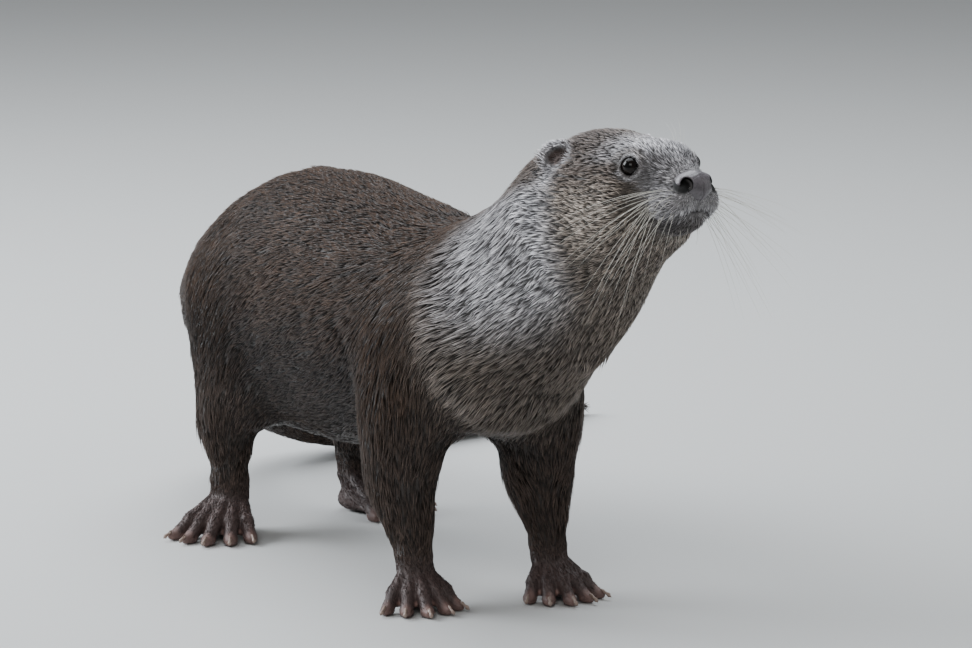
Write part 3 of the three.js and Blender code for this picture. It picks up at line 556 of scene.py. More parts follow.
class Coat:
    """What the coat is like at given points of the skin: its lie, size and colour."""

    def __init__(self, points, normals):
        self.points, self.normals = points, normals
        h = in_head(points)
        hx, side, hz = h[:, 0], np.abs(h[:, 1]), h[:, 2]
        reports = {name: along_line(points, line) for name, line in LINES.items()}
        flow = np.zeros_like(points)
        weights = {}
        for name, (_, off, radius, tangent) in reports.items():
            weight = np.exp(-2.4 * (np.linalg.norm(off, axis=1) / radius) ** 2) + 1e-7
            weights[name] = weight
            flow += tangent * weight[:, None]
        flow = unit(flow)
        total = sum(weights.values())
        self.spine = weights["spine"] / total
        s, off, radius, _ = reports["spine"]
        self.s = s
        flank = np.clip(1 - np.abs(normals[:, 2]) ** 2, 0, 1)
        droop = mix(0.38, -0.30, ramp(points[:, 0], -20, 50) * ramp(points[:, 2], 120, 180) * ramp(side, 12, 30))
        flow[:, 2] -= droop * flank * (self.spine > 0.3) * (points[:, 0] > -400)
        spread = unit(off) * 0.25 * ramp(hx, -60, 20)[:, None] * (points[:, 2] > 200)[:, None]
        flow += spread
        for ear in EAR_PLACES:
            rel = points - ear
            near = np.exp(-((np.linalg.norm(rel, axis=1) / 11) ** 2))
            flow += unit(rel) * near[:, None] * 0.9
        for centre in EYES.values():
            rel = points - centre
            near = np.exp(-((np.linalg.norm(rel, axis=1) / 9) ** 2))
            flow += unit(rel) * near[:, None] * 0.7
        flow -= normals * np.sum(flow * normals, axis=1)[:, None]
        self.flow = unit(flow)

        # Regions, each 0 to 1.
        low, along = points[:, 2], points[:, 0]
        legs = 1 - self.spine
        self.foot = ramp(-low, -44, -16) * (along > -360)
        self.tail = ramp(-along, 385, 425)
        on_head = ramp(hx, -110, -70) * (low > 175) * (along > 30)
        ear = np.min([np.linalg.norm(points - e, axis=1) for e in EAR_PLACES], axis=0)
        cup = np.max([ear_inside(h, side_) for side_ in (1, -1)], axis=0)
        self.ear = 1 - ramp(ear, 12, 16)
        ring, below_eye, away = eye_distances(points)
        nose = np.linalg.norm(points - NOSE_PLACE, axis=1)
        self.under = -(off[:, 2]) / np.maximum(radius, 1)
        throat = ramp(self.under, -0.30, 0.6) * ramp(along, -80, 30) * (low > 80) * self.spine
        belly = ramp(self.under, 0.5, 1.0) * ramp(along, -400, -330)

        # Sizes in millimetres.
        body_length = np.interp(along, [-380, -300, -130, -50, 20], [10, 11.5, 12, 15.5, 17])
        head_length = np.interp(hx, [-150, -100, -65, -30, 0, 20, 32], [17, 13, 9.5, 7.0, 5.4, 4.6, 3.8])
        length = mix(body_length, head_length, ramp(along, 0, 50) * (low > 120))
        length = mix(length, 14.5, legs * ramp(-low, -170, -110) * (along > -150))
        length = mix(length, 12.0, legs * ramp(-low, -170, -110) * (along <= -150))
        fringe = legs * ramp(np.clip(-normals[:, 0], 0, 1), 0.3, 0.8) * np.exp(-(((low - 84) / 26) ** 2))
        length = mix(length, 19, fringe)
        length = mix(length, 9.0, legs * ramp(-low, -80, -44))
        length = mix(length, 9.0, self.tail)
        length = mix(length, 3.4, ramp(-low, -48, -30) * (along > -360))
        length = mix(length, 2.2, ramp(-low, -20, -12) * (along > -360))
        length = mix(length, 4.0, self.ear)
        length *= mix(0.5, 1.0, ramp(ring, 6.4, 11))
        length *= mix(0.4, 1.0, ramp(nose, 12, 19))
        self.length = length
        self.width = np.interp(length, [2, 3.5, 5, 9, 12, 17], [0.34, 0.54, 0.60, 0.65, 0.68, 0.72])
        self.lift = mix(mix(mix(0.21, 0.25, throat), 0.24, on_head), 0.13, self.tail) + 0.25 * fringe
        web, tip = toe_parts(points)
        bare = (ring < 6.2) | (nose < 8.5)
        self.bare = np.where(self.foot > 0, 0.0, 1.0) * (ring < 8) * (away < 12)
        self.density = np.where(bare, 0, 1.0)
        self.density *= 1 - ramp(-low, -3.0, -1.4) * (self.foot > 0.5) * (along > -360)
        self.density *= 1 - np.clip(web * 1.4 + tip, 0, 1)
        self.density *= mix(1.0, 0.45, self.foot * ramp(-low, -17, -11))
        self.density *= mix(1.0, 0.55, self.foot)
        self.density *= 1 - cup * 0.6

        # Colours, as linear light.
        back = np.array([0.055, 0.0315, 0.020])
        pale = np.array([0.265, 0.225, 0.190])
        silver = np.array([0.50, 0.485, 0.50])
        grizzle = np.array([0.135, 0.106, 0.088])
        crown = np.array([0.150, 0.122, 0.108])
        shin = np.array([0.080, 0.057, 0.046])
        sole = np.array([0.110, 0.074, 0.068])
        pink = np.array([0.40, 0.235, 0.20])
        dark = np.array([0.022, 0.017, 0.016])
        colour = np.tile(back, (len(points), 1))
        shade = lambda target, amount: mix(colour, target, np.clip(amount, 0, 1)[:, None])
        # Painted shade: the trunk's lower flanks and underside are darkened, as shade under a light from above.
        colour = shade(back * 0.45, ramp(self.under, -0.3, 0.45) * ramp(-along, 30, 90))
        colour = shade(grizzle * 0.45, belly * 0.5)
        colour = shade(crown, on_head)
        colour = shade(grizzle, 0.9 * ramp(along, -40, 70) * ramp(self.under, -0.75, 0.1) * (low > 100) * self.spine)
        colour = shade(pale * 0.8, throat * 0.5)
        cheek = ramp(-hz, 2, 22) * ramp(hx, -80, -30) * (low > 190) * (1 - 0.6 * ramp(-hz, 36, 58))
        colour = shade(pale * 1.25, cheek * 0.85)
        # The neck's sides painted pale silver on their upper side: partly the coat's own paler colour, partly a painted
        # highlight of wet fur shining under the light.
        neck_pale_and_sheen = ramp(-hx, 42, 66) * ramp(hx, -158, -108) * ramp(side, 18, 44) * ramp(-hz, 0, 16) * ramp(hz, -118, -68)
        colour = shade(silver * 1.15, neck_pale_and_sheen * 0.92 * ramp(along, 12, 34) * ramp(self.under, -0.62, -0.15))
        # Painted sheen: the forehead between the eyes is painted bluish silver, as the lustre of its wet fur under the
        # light.
        forehead_sheen = ramp(hx, -34, -6) * ramp(-hx, -24, -8) * ramp(hz, 0, 7) * (low > 200)
        colour = shade(silver * 1.0, forehead_sheen * 0.85)
        muzzle = ramp(hx, -2, 12) * ramp(-hz, 8, 18) * (low > 200)
        colour = shade(silver * 1.05, muzzle * 0.85)
        snout = ramp(hx, -1, 9) * ramp(-hz, -9, -3) * (1 - ramp(-hz, 12, 20)) * (low > 200)
        colour = shade(silver * 0.7, snout * 0.7)
        lips = np.exp(-(((hz + 28.0 + 0.0125 * side**2) / 2.6) ** 2)) * ramp(hx, 2, 20) * (low > 200)
        colour = shade(silver * 1.3, lips * 0.7)
        chin = ramp(-hz, 32.5, 37) * ramp(hx, -4, 10) * (low > 200)
        colour = shade(crown * 0.55, chin * 0.8)
        rows = np.abs(np.sin(hz * 0.95 + 0.02 * side**2)) * muzzle * ramp(hx, 4, 12) * ramp(-hx, -30, -24)
        colour = shade(dark * 1.6, np.clip(rows * 0.35, 0, 1))
        brow = np.exp(-(((ring - 9.6) / 2.4) ** 2)) * ramp(-below_eye, 1, 5) * (away < 14)
        colour = shade(pale * 0.9, brow * 0.55)
        below = np.exp(-(((ring - 8.2) / 1.3) ** 2)) * ramp(below_eye, 1, 4) * (away < 12)
        colour = shade(silver * 1.2, below * 0.9)
        colour = shade(dark, (1 - ramp(ring, 6.0, 6.8)) * (away < 11))
        colour = shade(silver * 1.25, (1 - ramp(ear, 9.5, 13)) * (1 - cup) * ramp(hz, -4, 8) * 0.85)
        lobe = np.linalg.norm(np.column_stack([hx, side, hz]) - EAR_LOBE, axis=1)
        colour = shade(silver * 1.3, np.exp(-((lobe / 7) ** 2)) * 0.9)
        # Painted shadow: a dark spot behind each ear, standing for the shade in a parting of the wet fur there.
        hollow = np.linalg.norm(np.column_stack([hx, side, hz]) - BEHIND_EAR, axis=1)
        colour = shade(dark * 1.3, np.exp(-((hollow / 4.5) ** 2)) * 0.9)
        colour = shade(np.array([0.14, 0.092, 0.08]), cup * 0.8)
        colour = shade(shin, legs * ramp(-low, -150, -90))
        colour = shade(back * 0.85, self.tail)
        colour = shade(sole, self.foot)
        colour = shade(pink, web * 0.9)
        colour = shade(mix(sole, pink, 0.45), tip * 0.9)
        lip_dark = np.exp(-(((hz + 31.2 + 0.0125 * side**2) / 0.8) ** 2)) * ramp(hx, -2, 6) * (low > 200)
        colour = shade(dark * 1.5, lip_dark * 0.65)
        patch = 1 + 0.14 * noise(points, 60, 3) + 0.1 * noise(points, 17, 4) + 0.24 * noise(points, 4.5, 5) * on_head
        self.colour = colour * patch[:, None]
        self.short = 1 - ramp(length, 3.4, 6.5)
        # Painted shade: the skin in and around each nostril is painted near black for the shade inside the nostril, and
        # is left bare of coat.
        nostril = np.linalg.norm(np.column_stack([hx, side, hz]) - NOSTRIL, axis=1)
        self.colour = mix(dark * 0.3, self.colour, ramp(nostril, 4.6, 6.4)[:, None])
        self.density *= ramp(nostril, 4.8, 6.6)


def vertex_data(mesh):
    co = np.empty(len(mesh.vertices) * 3, np.float32)
    mesh.vertices.foreach_get("co", co)
    no = np.empty(len(mesh.vertices) * 3, np.float32)
    mesh.vertex_normals.foreach_get("vector", no)
    return co.reshape(-1, 3).astype(float), no.reshape(-1, 3).astype(float)


def relaxed(values, mesh, rounds):
    """Values at the vertices, averaged with their neighbours'."""
    edges = np.empty(len(mesh.edges) * 2, np.int32)
    mesh.edges.foreach_get("vertices", edges)
    a, b = edges.reshape(-1, 2).T
    count = np.bincount(a, minlength=len(values)) + np.bincount(b, minlength=len(values))
    for _ in range(rounds):
        total = np.empty_like(values)
        for i in range(values.shape[1]):
            total[:, i] = np.bincount(a, values[b, i], len(values)) + np.bincount(b, values[a, i], len(values))
        values = 0.5 * values + 0.5 * total / np.maximum(count, 1)[:, None]
    return values


# ---------------------------------------------------------------- building meshes


def add(mesh, name, material, nodes=()):
    mesh.name = name
    mesh.materials.clear()
    mesh.materials.append(material)
    mesh.polygons.foreach_set("use_smooth", np.ones(len(mesh.polygons), bool))
    obj = bpy.data.objects.new(name, mesh)
    bpy.context.scene.collection.objects.link(obj)
    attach(obj, "root")
    if nodes:
        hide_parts(*nodes)
    return obj


def mesh_of(points, triangles):
    """A mesh of triangles, given in the build frame."""
    mesh = bpy.data.meshes.new("piece")
    mesh.vertices.add(len(points))
    mesh.vertices.foreach_set("co", row(points).astype(np.float32).ravel())
    mesh.loops.add(triangles.size)
    mesh.loops.foreach_set("vertex_index", triangles.astype(np.int32).ravel())
    mesh.polygons.add(len(triangles))
    mesh.polygons.foreach_set("loop_start", np.arange(0, triangles.size, 3, dtype=np.int32))
    mesh.update(calc_edges=True)
    return mesh


def paint(mesh, colours, along=None):
    layer = mesh.color_attributes.new("coat", "FLOAT_COLOR", "POINT")
    rgba = np.ones((len(colours), 4), np.float32)
    rgba[:, :3] = colours
    layer.data.foreach_set("color", rgba.ravel())
    if along is not None:
        value = mesh.attributes.new("along", "FLOAT", "POINT")
        value.data.foreach_set("value", along.astype(np.float32))


class Skin:
    """The skin's vertices and triangles with the coat's facts at each vertex, for sampling."""

    def __init__(self, mesh):
        self.points, self.normals = vertex_data(mesh)
        mesh.calc_loop_triangles()
        tri = np.empty(len(mesh.loop_triangles) * 3, np.int32)
        mesh.loop_triangles.foreach_get("vertices", tri)
        self.triangles = tri.reshape(-1, 3)
        self.coat = Coat(self.points, self.normals)
        self.coat.flow = unit(relaxed(self.coat.flow, mesh, 12))
        corner = self.points[self.triangles]
        self.area = 0.5 * np.linalg.norm(np.cross(corner[:, 1] - corner[:, 0], corner[:, 2] - corner[:, 0]), axis=1)
        self.middle = corner.mean(axis=1)

    def face_mean(self, values):
        return values[self.triangles].mean(axis=1)

    def sampled(self, weight, count):
        share = np.cumsum(weight * self.area)
        face = np.searchsorted(share, rng.random(count) * share[-1])
        a, b = rng.random(count), rng.random(count)
        fold = a + b > 1
        a[fold], b[fold] = 1 - a[fold], 1 - b[fold]
        corners = self.triangles[np.minimum(face, len(self.triangles) - 1)]
        weights = np.column_stack([1 - a - b, a, b])
        return lambda values: np.einsum("ij,ij...->i...", weights, values[corners])


def clumped(root, side, count, size):
    """For each tuft, how far to the side the middle of its clump lies."""
    seeds = root[rng.permutation(count)[: max(1, count // size)]]
    tree = KDTree(len(seeds))
    for i, seed in enumerate(seeds):
        tree.insert(seed, i)
    tree.balance()
    found = np.array([tree.find(p)[1] for p in root])
    return np.sum((seeds[found] - root) * side, axis=1), rng.normal(0, 1, len(seeds))[found]


def tuft_mesh(skin, weight, count, line, kind, spread=1.0):
    """Tufts over the faces that the weight names: closed slivers, bent over and pointed.

    The map OFBake gives each tuft a small patch at its root's place on an unwrap of the skin round
    the body's own middle line."""
    at = skin.sampled(weight, count)
    root, normal = at(skin.points), unit(at(skin.normals))
    flow = at(skin.coat.flow)
    flow = unit(flow - normal * np.sum(flow * normal, axis=1)[:, None])
    across = np.cross(normal, flow)
    length, width, lift = at(skin.coat.length), at(skin.coat.width), at(skin.coat.lift)
    size = np.clip(rng.normal(1, 0.17, count), 0.55, 1.5)
    length, width = length * size, width * np.clip(rng.normal(1, 0.2, count), 0.6, 1.6)
    veer = 0.10 * noise(root, 19, 21) + 0.15 * noise(root, 50, 22) + rng.normal(0, 0.04, count)
    veer *= spread
    way = flow * np.cos(veer)[:, None] + across * np.sin(veer)[:, None]
    side = np.cross(normal, way)
    rise = np.clip(lift + 0.08 * noise(root, 23, 23) + rng.normal(0, 0.06, count), 0.05, 0.9)
    col = lambda v: np.asarray(v)[:, None]
    w, thick = width / 2, width * 0.34
    sunk = root - normal * col(np.minimum(0.35, 0.12 * length))
    pull, clump_tone = clumped(root, side, count, 4)
    pull = np.clip(0.6 * pull, -0.2 * length, 0.2 * length)
    if kind == "sliver":
        tip = root + (way * col(np.cos(rise * 0.8)) + normal * col(np.sin(rise * 0.8))) * col(length) + side * col(pull)
        rings = [sunk + side * col(w), sunk - side * col(w), root + normal * col(thick), tip]
        local = np.array([[0, 2, 1], [0, 1, 3], [1, 2, 3], [2, 0, 3]])
        spots = np.array([[-1, -1], [1, -1], [0, 0], [0, 1.2]])
        along = np.array([0, 0, 0.15, 1])
    else:
        places = (0.5,)
        wave = rng.normal(0, 0.035, count) * spread
        rings = [sunk + side * col(w * 0.8), sunk - side * col(w * 0.8), root + normal * col(thick)]
        spots = [[-1, -1], [1, -1], [0, -0.8]]
        along = [0, 0, 0.05]
        local = [[0, 2, 1]]
        high = np.sin(rise) * length * 0.42
        for place in places:
            bend = 1 - (1 - place) ** 2
            sway = pull * place**1.5 + wave * length * math.sin(place * 6.0)
            centre = root + way * col(length * place * 0.97) + normal * col(high * bend) + side * col(sway)
            full = w * (1.0 if place < 0.6 else 0.72)
            rings += [
                centre + side * col(full) - normal * col(thick * 0.3),
                centre - side * col(full) - normal * col(thick * 0.3),
                centre + normal * col(thick * (0.8 if place < 0.6 else 0.5)),
            ]
            n = len(rings)
            local += [[n - 6, n - 5, n - 2], [n - 6, n - 2, n - 3], [n - 5, n - 4, n - 1], [n - 5, n - 1, n - 2]]
            local += [[n - 4, n - 6, n - 3], [n - 4, n - 3, n - 1]]
            spots += [[-1, place * 1.2 - 0.6], [1, place * 1.2 - 0.6], [0, place * 1.2 - 0.4]]
            along += [place, place, place + 0.05]
        rings.append(root + way * col(length * 0.96) + normal * col(high * 0.9) + side * col(pull))
        n = len(rings)
        local += [[n - 4, n - 3, n - 1], [n - 3, n - 2, n - 1], [n - 2, n - 4, n - 1]]
        spots.append([0, 1.2])
        along.append(1)
        local, spots, along = np.array(local), np.array(spots), np.array(along)
    each = len(rings)
    points = np.stack(rings, axis=1).reshape(-1, 3)
    points[:, 2] = np.maximum(points[:, 2], 0.2)
    triangles = (local[None] + (np.arange(count) * each)[:, None, None]).reshape(-1, 3)
    mesh = mesh_of(points, triangles)
    tone = np.clip(rng.normal(1, 0.30, count), 0.4, 1.8) * (1 + 0.12 * np.clip(clump_tone, -2, 2))
    colours = np.repeat(at(skin.coat.colour) * col(tone), each, axis=0)
    paint(mesh, colours, np.tile(along, count))
    s, off, _, tangent = along_line(root, line)
    upward = np.array([0.0, 0.0, 1.0]) if line is SPINE else np.array([1.0, 0.0, 0.0])
    up = unit(upward - tangent * (tangent @ upward)[:, None])
    turn = np.arctan2(np.sum(off * np.cross(tangent, up), axis=1), np.sum(off * up, axis=1))
    spot = np.column_stack([s, turn])
    spot = (spot - spot.min(0)) / np.maximum(np.ptp(spot, axis=0), 1e-6) * 0.99 + 0.005
    uv_points = np.repeat(spot, each, axis=0) + np.tile(spots * 0.0014, (count, 1))
    layer = mesh.uv_layers.new(name="OFBake")
    layer.data.foreach_set("uv", uv_points[triangles.ravel()].astype(np.float32).ravel())
    return mesh


# ---------------------------------------------------------------- materials


def node_material(name):
    material = bpy.data.materials.new(name)
    material.use_nodes = True
    tree = material.node_tree
    return material, tree, tree.nodes["Principled BSDF"]


def link(tree, a, b):
    tree.links.new(a, b)


def make(tree, kind, **settings):
    node = tree.nodes.new(kind)
    for key, value in settings.items():
        if key in node.inputs:
            node.inputs[key].default_value = value
        else:
            setattr(node, key, value)
    return node


def multiplied(tree, colour, factor):
    """A colour times a number, both sockets."""
    node = tree.nodes.new("ShaderNodeVectorMath")
    node.operation = "SCALE"
    link(tree, colour, node.inputs[0])
    link(tree, factor, node.inputs["Scale"])
    return node.outputs[0]


def ranged(tree, value, low, high, start=0.0, end=1.0):
    node = tree.nodes.new("ShaderNodeMapRange")
    node.inputs["From Min"].default_value = start
    node.inputs["From Max"].default_value = end
    node.inputs["To Min"].default_value = low
    node.inputs["To Max"].default_value = high
    link(tree, value, node.inputs["Value"])
    return node.outputs["Result"]


def coat_material(name, roughness, root_shade, tip_tone, sheen):
    material, tree, shader = node_material(name)
    colour = make(tree, "ShaderNodeAttribute", attribute_name="coat")
    along = make(tree, "ShaderNodeAttribute", attribute_name="along")
    # Each tuft is darker at its root and lighter at its tip: the dark root is painted shade where the tufts cover one
    # another.
    tone = ranged(tree, along.outputs["Fac"], root_shade, tip_tone, 0.25, 0.95)
    link(tree, multiplied(tree, colour.outputs["Color"], tone), shader.inputs["Base Color"])
    link(tree, ranged(tree, along.outputs["Fac"], roughness + 0.12, roughness), shader.inputs["Roughness"])
    shader.inputs["Specular IOR Level"].default_value = 0.27
    shader.inputs["Sheen Weight"].default_value = sheen
    shader.inputs["Sheen Roughness"].default_value = 0.4
    shader.inputs["Sheen Tint"].default_value = (0.80, 0.87, 1.0, 1)
    return material


def skin_material():
    material, tree, shader = node_material("skin")
    colour = make(tree, "ShaderNodeAttribute", attribute_name="coat")
    where = make(tree, "ShaderNodeTexCoord")
    fine = make(tree, "ShaderNodeTexNoise", Scale=900.0, Detail=4.0, Roughness=0.6)
    broad = make(tree, "ShaderNodeTexNoise", Scale=160.0, Detail=5.0, Roughness=0.55)
    link(tree, where.outputs["Object"], fine.inputs["Vector"])
    link(tree, where.outputs["Object"], broad.inputs["Vector"])
    tone = ranged(tree, broad.outputs["Fac"], 0.35, 0.95)
    link(tree, multiplied(tree, colour.outputs["Color"], tone), shader.inputs["Base Color"])
    link(tree, ranged(tree, fine.outputs["Fac"], 0.4, 0.68), shader.inputs["Roughness"])
    bump = make(tree, "ShaderNodeBump", Strength=0.55, Distance=0.0006)
    link(tree, fine.outputs["Fac"], bump.inputs["Height"])
    link(tree, bump.outputs["Normal"], shader.inputs["Normal"])
    shader.inputs["Specular IOR Level"].default_value = 0.45
    return material


def nose_material():
    material, tree, shader = node_material("nose_pad")
    where = make(tree, "ShaderNodeTexCoord")
    cells = make(tree, "ShaderNodeTexVoronoi", Scale=760.0)
    tint = make(tree, "ShaderNodeTexNoise", Scale=220.0, Detail=4.0)
    link(tree, where.outputs["Object"], cells.inputs["Vector"])
    link(tree, where.outputs["Object"], tint.inputs["Vector"])
    ramp_node = make(tree, "ShaderNodeValToRGB")
    ramp_node.color_ramp.elements[0].color = (0.045, 0.038, 0.044, 1)
    ramp_node.color_ramp.elements[1].color = (0.19, 0.165, 0.185, 1)
    link(tree, tint.outputs["Fac"], ramp_node.inputs["Fac"])
    # The nose pad's painted light and shade: it darkens the colour and takes the gloss away inside the nostrils, and
    # lightens the top.
    nose_light_and_shade = make(tree, "ShaderNodeAttribute", attribute_name="coat")
    colour = multiplied(tree, ramp_node.outputs["Color"], nose_light_and_shade.outputs["Fac"])
    link(tree, colour, shader.inputs["Base Color"])
    link(tree, ranged(tree, tint.outputs["Fac"], 0.28, 0.5), shader.inputs["Roughness"])
    bump = make(tree, "ShaderNodeBump", Strength=0.9, Distance=0.0005)
    link(tree, cells.outputs["Distance"], bump.inputs["Height"])
    link(tree, bump.outputs["Normal"], shader.inputs["Normal"])
    link(tree, ranged(tree, nose_light_and_shade.outputs["Fac"], 0.0, 0.6, 0.1, 0.6), shader.inputs["Coat Weight"])
    link(tree, ranged(tree, nose_light_and_shade.outputs["Fac"], 0.05, 0.5, 0.1, 0.6), shader.inputs["Specular IOR Level"])
    shader.inputs["Coat Roughness"].default_value = 0.2
    return material


def eye_material():
    material, tree, shader = node_material("eye")
    spot = make(tree, "ShaderNodeAttribute", attribute_name="gaze")
    fibres = make(tree, "ShaderNodeTexNoise", Scale=2600.0, Detail=3.0)
    where = make(tree, "ShaderNodeTexCoord")
    link(tree, where.outputs["Object"], fibres.inputs["Vector"])
    rings = make(tree, "ShaderNodeValToRGB")
    stops = [(0.0, (0.002, 0.002, 0.002, 1)), (0.34, (0.003, 0.0025, 0.002, 1)), (0.42, (0.008, 0.0045, 0.003, 1))]
    stops += [(0.78, (0.006, 0.0035, 0.003, 1)), (0.88, (0.003, 0.0025, 0.0025, 1))]
    ramp_ = rings.color_ramp
    while len(ramp_.elements) < len(stops):
        ramp_.elements.new(0.5)
    for element, (place, colour) in zip(ramp_.elements, stops):
        element.position = place
        element.color = colour
    link(tree, spot.outputs["Fac"], rings.inputs["Fac"])
    tone = ranged(tree, fibres.outputs["Fac"], 0.7, 1.3)
    link(tree, multiplied(tree, rings.outputs["Color"], tone), shader.inputs["Base Color"])
    shader.inputs["Roughness"].default_value = 0.05
    shader.inputs["Specular IOR Level"].default_value = 0.24
    return material


def horn_material():
    material, tree, shader = node_material("claw")
    where = make(tree, "ShaderNodeTexCoord")
    grain = make(tree, "ShaderNodeTexNoise", Scale=700.0, Detail=3.0)
    link(tree, where.outputs["Object"], grain.inputs["Vector"])
    tint = make(tree, "ShaderNodeValToRGB")
    tint.color_ramp.elements[0].color = (0.17, 0.115, 0.09, 1)
    tint.color_ramp.elements[1].color = (0.42, 0.32, 0.27, 1)
    link(tree, grain.outputs["Fac"], tint.inputs["Fac"])
    link(tree, tint.outputs["Color"], shader.inputs["Base Color"])
    link(tree, ranged(tree, grain.outputs["Fac"], 0.25, 0.42), shader.inputs["Roughness"])
    return material


def whisker_material():
    material, tree, shader = node_material("whisker")
    where = make(tree, "ShaderNodeTexCoord")
    grain = make(tree, "ShaderNodeTexNoise", Scale=90.0, Detail=2.0)
    link(tree, where.outputs["Object"], grain.inputs["Vector"])
    tint = make(tree, "ShaderNodeValToRGB")
    tint.color_ramp.elements[0].color = (0.62, 0.58, 0.50, 1)
    tint.color_ramp.elements[1].color = (0.86, 0.84, 0.78, 1)
    link(tree, grain.outputs["Fac"], tint.inputs["Fac"])
    link(tree, tint.outputs["Color"], shader.inputs["Base Color"])
    shader.inputs["Roughness"].default_value = 0.3
    return material


COAT = coat_material("coat", 0.27, 0.2, 1.85, 0.02)
SHORT_COAT = coat_material("short_coat", 0.34, 0.30, 1.65, 0.05)
SKIN, NOSE, EYE, HORN, WHISKER = (
    skin_material(),
    nose_material(),
    eye_material(),
    horn_material(),
    whisker_material(),
)

# ---------------------------------------------------------------- skin and coat

skin_built = skin_mesh()
skin = Skin(skin_built)
# The skin under the coat is painted darker than the coat: partly its own dark underfur, partly painted shade in the
# gaps between the tufts. It is lighter on the feet and bare places.
paint(skin_built, skin.coat.colour * mix(mix(0.5, 0.62, skin.coat.short), 1.15, skin.coat.foot + skin.coat.bare)[:, None])
skin_built.transform(Matrix.Diagonal((0.001, 0.001, 0.001, 1.0)))
skin_built.transform(Matrix.Translation(Vector(SHIFT / 1000)))
add(skin_built, "skin", SKIN, FLESH)

hx_face = in_head(skin.middle)[:, 0]
spine_share = skin.face_mean(skin.coat.spine)
foot_share = skin.face_mean(skin.coat.foot)
length = skin.face_mean(skin.coat.length)
density = skin.face_mean(skin.coat.density)
x, y, z = skin.middle.T
on_leg = (spine_share < 0.45) & (x > -372) & (z < 175)
is_head = (hx_face > -84) & (z > 175) & (x > 30)
is_foot = (foot_share > 0.55) & (x > -360)
is_neck = ~is_head & ~on_leg & (x > -5)
is_tail = (x < -376) & ~on_leg
is_trunk = ~(is_head | is_neck | is_tail | on_leg | is_foot)
fore, hind = on_leg & (x > -140) & ~is_foot, on_leg & (x <= -140) & ~is_foot

# Name, faces, the line its map follows, and the shape of its tufts.
PIECES = [
    ("coat_face_left", is_head & (length < 5.6) & (y >= 45), SPINE, "sliver"),
    ("coat_face_right", is_head & (length < 5.6) & (y < 45), SPINE, "sliver"),
    ("coat_head_left", is_head & (length >= 5.6) & (y >= 25), SPINE, "tuft"),
    ("coat_head_right", is_head & (length >= 5.6) & (y < 25), SPINE, "tuft"),
    ("coat_neck_left", is_neck & (y >= 6), SPINE, "lock"),
    ("coat_neck_right", is_neck & (y < 6), SPINE, "lock"),
    ("coat_back_fore", is_trunk & (x > -190) & (z > 168), SPINE, "tuft"),
    ("coat_back_hind", is_trunk & (x <= -190) & (z > 168), SPINE, "tuft"),
    ("coat_flank_fore", is_trunk & (x > -190) & (z <= 168), SPINE, "tuft"),
    ("coat_flank_hind", is_trunk & (x <= -190) & (z <= 168), SPINE, "tuft"),
    ("coat_foreleg_left", fore & (y > 0), LINES["foreleg_left"], "tuft"),
    ("coat_foreleg_right", fore & (y <= 0), LINES["foreleg_right"], "tuft"),
    ("coat_hindleg_left", hind & (y > 0), LINES["hindleg_left"], "tuft"),
    ("coat_hindleg_right", hind & (y <= 0), LINES["hindleg_right"], "tuft"),
    ("coat_tail_root", is_tail & (x > -465), SPINE, "tuft"),
    ("coat_tail_end", is_tail & (x <= -465), SPINE, "tuft"),
    ("coat_feet_fore", is_foot & (x > -140), LINES["foreleg_left"], "sliver"),
    ("coat_feet_hind", is_foot & (x <= -140), LINES["hindleg_left"], "sliver"),
]
LAYERS = {"sliver": 2.7, "tuft": 2.6, "lock": 3.6}  # how many tufts lie over any one place
TRIANGLES = {"sliver": 4, "tuft": 10, "lock": 10}
MOST = 190000  # triangles in any one piece
breadth = skin.face_mean(skin.coat.width)
SHARE = 1.0
for name, faces, line, kind in PIECES:
    weight = faces * density / (length * breadth)
    count = min(int(LAYERS[kind] * np.sum(weight * skin.area)), MOST // TRIANGLES[kind])
    mesh = tuft_mesh(skin, weight, int(count * SHARE), line, kind, 0.8 if kind == "sliver" else 1.0)
    slot = "foot_skin" if "feet" in name else "coat" if x[faces].mean() < 0 else "pale_coat"
    add(mesh, name, SHORT_COAT if kind == "sliver" else COAT)

# ---------------------------------------------------------------- eyes

for side, centre in EYES.items():
    bm = bmesh.new()
    bmesh.ops.create_uvsphere(bm, u_segments=48, v_segments=32, radius=1)
    mesh = bpy.data.meshes.new("eye")
    bm.to_mesh(mesh)
    bm.free()
    co, _ = vertex_data(mesh)
    gaze = HEAD @ gaze_axes(side)[2]
    facing = co @ gaze
    swell = 1 + 0.05 * ramp(facing, 0.55, 1.0)
    points = centre + co * (EYE_RADIUS - 0.05) * swell[:, None]
    mesh.vertices.foreach_set("co", row(points).astype(np.float32).ravel())
    mesh.update()
    spot = mesh.attributes.new("gaze", "FLOAT", "POINT")
    spot.data.foreach_set("value", (np.arccos(np.clip(facing, -1, 1)) / 1.1).astype(np.float32))
    add(mesh, f"eyeball_{side}", EYE, [f"eye_{side}"])

# ---------------------------------------------------------------- nose pad


def ellipsoid(x, y, z, centre, radii, pitch=0.0, yaw=0.0):
    dx, dy, dz = x - centre[0], y - centre[1], z - centre[2]
    c, s = math.cos(math.radians(yaw)), math.sin(math.radians(yaw))
    dx, dy = dx * c + dy * s, -dx * s + dy * c
    c, s = math.cos(math.radians(pitch)), math.sin(math.radians(pitch))
    dx, dz = dx * c - dz * s, dx * s + dz * c
    scaled = np.sqrt((dx / radii[0]) ** 2 + (dy / radii[1]) ** 2 + (dz / radii[2]) ** 2)
    return (scaled - 1) * min(radii)


